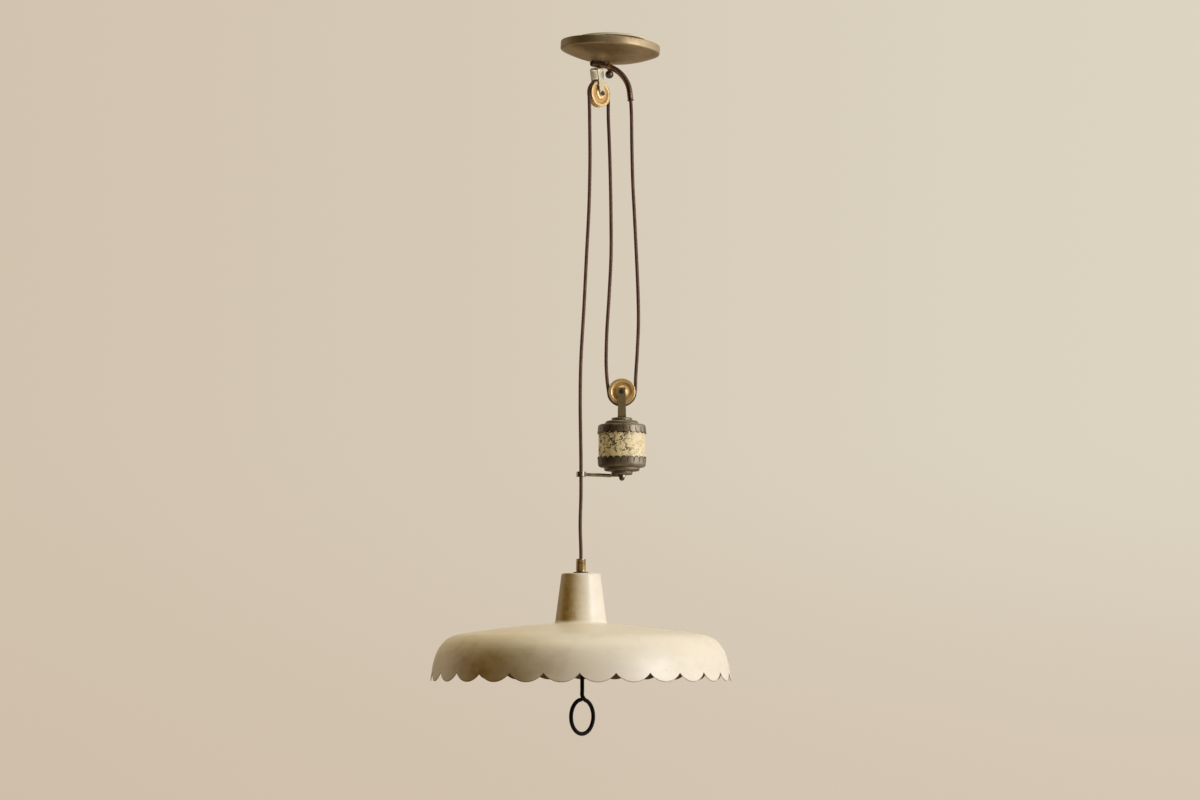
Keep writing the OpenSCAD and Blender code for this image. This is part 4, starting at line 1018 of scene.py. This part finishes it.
class PENDANT_OT_counterweight(bpy.types.Operator):
    """Makes the counterweight's scalloped caps and its turned disc"""

    bl_idname = "pendant.counterweight"
    bl_label = "Counterweight"

    def execute(self, context):
        bronze = petal_bronze(colours())
        x, y, _ = WEIGHT
        high = 14.6
        self.cap(
            "cap_top", "weight_top_cap", bronze, at(x, y, TOP_CAP_SHOULDER - high),
            high, ((25.0, 5.0, 4.0),), -88,
        )
        high = 15.6
        self.cap(
            "cap_bottom", "weight_bottom_cap", bronze, at(x, y, LOW_CAP_SHOULDER + high, (180, "X")),
            high, ((26.5, 5.2, 2.4), (16.0, 10.8, 2.4)), 77,
        )
        disc = [(TIE_BORE, 0), (15.4, 0), (15.4, 4.5), (TIE_BORE, 4.5)]
        turned(
            "yoke_disc_turned", "yoke_disc", "counterweight", "bronze",
            rounded(disc, [0.1, 1.0, 1.6, 0.1], 5), bronze, at(x, y, DISC_SEAT), 96,
        )
        return {"FINISHED"}

    @staticmethod
    def cap(name, node, finish, place, top, steps, turn):
        """A cap from the tips of its lobes up, its shoulder at the height top, with steps of
        (radius, height over the shoulder, radius of the edge) on it."""
        size = sizes()
        rim_r, draw, straight = 36.65, 0.9, top - 5
        outline = [(rim_r - draw * k / 6, straight * k / 6) for k in range(7)]
        outline += bezier(outline[-1], (35.6, top - 2), (33.9, top - 0.4), (30.4, top - 0.25), 8)
        z = top
        for r, high, edge in steps:
            outline += [(r + 0.9, z), (r + 0.15, z + 0.25)]
            z = top + high
            outline += arc(r - edge, z - edge, edge, range(0, 91, 18))
        outline += [(4.0, z), (TIE_BORE, z)]
        wall = size.cap_sheet / MM
        inside = [(TIE_BORE, top - wall), (28, top - wall), (32.5, top - 1.4), (34.6, top - 3),
                  (34.95, straight), (35.85, 0.0), (36.05, -0.12), (36.45, -0.12)]
        turned(
            name, node, "counterweight", "bronze", [*outline, *inside], finish, place,
            size.cap_lobes * 18, Lobes=size.cap_lobes, Depth=size.cap_depth, Reach=straight * MM,
            Draw=draw / straight, Turn=math.radians(turn), Edge=rim_r * MM,
        )


class PENDANT_OT_pulleys(bpy.types.Operator):
    """Turns the two brass pulleys"""

    bl_idname = "pendant.pulleys"
    bl_label = "Pulleys"

    def execute(self, context):
        half = [(3.7, 6), (5.8, 6), (6.4, 5.6), (7.6, 5.4), (8.8, 4.2), (10.4, 3.2), (13.6, 3.2),
                (15.8, 5.2), (19.5, 5.2), (20.3, 4.5)]
        lip, seat = 20.25, 2.8
        groove = [(min(r, lip), z) for r, z in arc(PATH_R, 0, seat, range(96, 265, 12))]
        lower = [(r, -z) for r, z in reversed(half)]
        section = rounded(half, 0.35, 3) + groove + rounded(lower, 0.35, 3)
        for name, centre, yaw, body, node in (
            ("wheel_top", TOP_WHEEL, TOP_YAW, "top_pulley", "top_wheel"),
            ("wheel_weight", WEIGHT, 0.0, "weight_pulley", "weight_wheel"),
        ):
            brass = turned_brass("turned_brass_" + body, colours(), centre)
            place = at(*centre, (yaw, "Z"), (90, "X"))
            turned(name, node, body, "wheel_brass", section, brass, place, 144)
        return {"FINISHED"}


class PENDANT_OT_canopy(bpy.types.Operator):
    """Spins the brass canopy"""

    bl_idname = "pendant.canopy"
    bl_label = "Canopy"

    def execute(self, context):
        dish_r, rim_r = 175.31, 74.25
        outline = [(r, dish_r - math.sqrt(dish_r ** 2 - r ** 2))
                   for r in (3.1, 6, 12, 20, 28, 36, 44, 52, 58, 63, 67, 70, 73)]
        outline += bezier((73, 15.92), (73.8, 16.3), (rim_r, 16.5), (rim_r, 17.4), 5)
        outline += [(rim_r, z) for z in (19, 21, 23, 25, 26.6)]
        turned(
            "canopy_spun", "canopy", "ceiling_fixture", "canopy_brass",
            sheet_section(outline[::-1], sizes().canopy_sheet / MM), canopy_brass(colours()),
            at(0, 0, CANOPY_SEAT, (CANOPY_LEAN, "Y"), (CANOPY_PITCH, "X")), 200,
        )
        return {"FINISHED"}


class PENDANT_OT_grip(bpy.types.Operator):
    """Turns the ribbed cord grip and its washer"""

    bl_idname = "pendant.grip"
    bl_label = "Cord grip"

    def execute(self, context):
        bore, out, pitch, high = 2.65, 7.3, 1.75, GRIP_TOP - GRIP_FOOT
        ribs = []
        for k in range(9):
            z = 2.6 + k * pitch
            ribs += [(out, z), (out - 0.3, z + 0.45), (out - 0.3, z + 0.95), (out, z + 1.4)]
        corners = [(bore, 0), (out, 0), *ribs, (out, high), (bore, high)]
        brass = aged_brass(
            "ribbed_brass", colours().bright[:], srgb(78, 57, 30), (*LAMP_AXIS, GRIP_TOP), 0.22
        )
        turned(
            "grip_ribbed", "cord_grip", "lamp", "bright_brass", rounded(corners, 0.22, 2), brass,
            at(*LAMP_AXIS, GRIP_FOOT), 96,
        )
        return {"FINISHED"}


class PENDANT_OT_ring(bpy.types.Operator):
    """Bends the black rod into the pull ring"""

    bl_idname = "pendant.ring"
    bl_label = "Pull ring"

    def execute(self, context):
        x, y, middle = LAMP_AXIS[0] + 2.0, LAMP_AXIS[1], RIM_Z - 53.0
        yaw = math.radians(50)
        top = middle + RING_R
        points = [(x, y, z) for z in (ROD_TOP, -937, -944, -950, -970, top + 12, top + 6)]
        for reach, z in arc(0, middle, RING_R, range(76, -271, -11)):
            points.append((x + reach * math.cos(yaw), y + reach * math.sin(yaw), z))
        path = catmull(np.array(points) * MM, 0.0014)
        radius = np.interp(-path[:, 2], [0.944, 0.950], [0.0026, ROD_R * MM])
        mesh, _ = tube("pull_ring_bent", path, radius, black_paint(colours()), 24)
        piece("pull_ring_bent", mesh, "lamp", "black_paint", "pull_ring")
        return {"FINISHED"}


class PENDANT_OT_fittings(bpy.types.Operator):
    """Gives every other piece its finish"""

    bl_idname = "pendant.fittings"
    bl_label = "Fittings"

    def execute(self, context):
        paint = colours()
        finishes = {
            "cream_sleeve": crazed_enamel(paint),
            "bronze": dark_bronze(paint),
            "arm_brass": plain_metal("arm_bronze", srgb(150, 124, 112), srgb(120, 98, 86), 0.18),
            "bright_brass": aged_brass(
                "bright_brass", paint.bright[:], srgb(120, 88, 48), (0, 0, -800), 0.24
            ),
            "black_paint": bpy.data.materials.get("black_paint") or black_paint(paint),
            "steel": plain_metal("steel", srgb(176, 174, 170), srgb(138, 134, 128), 0.28),
            "iron": plain_metal("cast_iron", srgb(72, 68, 64), srgb(46, 42, 38), 0.6, 160, 0.7),
            "black_plastic": moulded("black_plastic", srgb(24, 21, 19), srgb(38, 34, 30), 0.38),
            "rubber": moulded("rubber", srgb(30, 28, 27), srgb(48, 45, 42), 0.7, 1400),
            "porcelain": moulded("porcelain", srgb(232, 228, 216), srgb(218, 210, 192), 0.16),
            "frosted_glass": frosted_bulb(),
        }
        worn_iron = plain_metal("worn_iron", srgb(70, 62, 52), srgb(40, 33, 26), 0.5, 160, 0.6)
        own = {
            "ceiling_plate": moulded("pale_plate", srgb(222, 213, 196), srgb(212, 202, 184), 0.6),
            "weight_yoke": aged_brass(
                "olive_strap", srgb(176, 162, 126), srgb(122, 108, 76), (18, 6, -545), 0.42
            ),
            "top_axle": worn_iron,
            "weight_axle": worn_iron,
            "top_yoke": aged_brass(
                "yoke_grey", srgb(232, 225, 204), srgb(186, 177, 152), (-16, 3, -60), 0.34, 0.3
            ),
            "guide_arm": plain_metal(
                "guide_grey", srgb(168, 160, 142), srgb(112, 104, 88), 0.24, 120
            ),
        }
        slots = {s["node"]: s["material_slot"] for s in frame["record"]["subparts"]}
        for name, node in frame["nodes"].items():
            finish = own.get(name) or finishes.get(slots[name])
            if finish:
                for place in node.material_slots:
                    place.material = finish
        return {"FINISHED"}


class PENDANT_PT_pieces(bpy.types.Panel):
    """Lists the pendant's makers, sizes and colours"""

    bl_idname = "PENDANT_PT_pieces"
    bl_label = "Pendant"
    bl_space_type = "VIEW_3D"
    bl_region_type = "UI"
    bl_category = "Pendant"

    def draw(self, context):
        column = self.layout.column()
        for operator in OPERATORS:
            column.operator(operator.bl_idname)
        for group in (sizes(), colours()):
            for name in group.__annotations__:
                column.prop(group, name)


OPERATORS = (
    PENDANT_OT_stage, PENDANT_OT_cords, PENDANT_OT_shade, PENDANT_OT_counterweight,
    PENDANT_OT_pulleys, PENDANT_OT_canopy, PENDANT_OT_grip, PENDANT_OT_ring,
    PENDANT_OT_fittings,
)
CLASSES = (PendantSizes, PendantColours, *OPERATORS, PENDANT_PT_pieces)


def register():
    for entry in CLASSES:
        bpy.utils.register_class(entry)
    bpy.types.Scene.pendant_sizes = bpy.props.PointerProperty(type=PendantSizes)
    bpy.types.Scene.pendant_colours = bpy.props.PointerProperty(type=PendantColours)


def unregister():
    del bpy.types.Scene.pendant_colours
    del bpy.types.Scene.pendant_sizes
    for entry in reversed(CLASSES):
        bpy.utils.unregister_class(entry)


def main():
    register()
    for operator in OPERATORS:
        getattr(bpy.ops.pendant, operator.bl_idname.removeprefix("pendant."))()


if __name__ == "__main__":
    main()
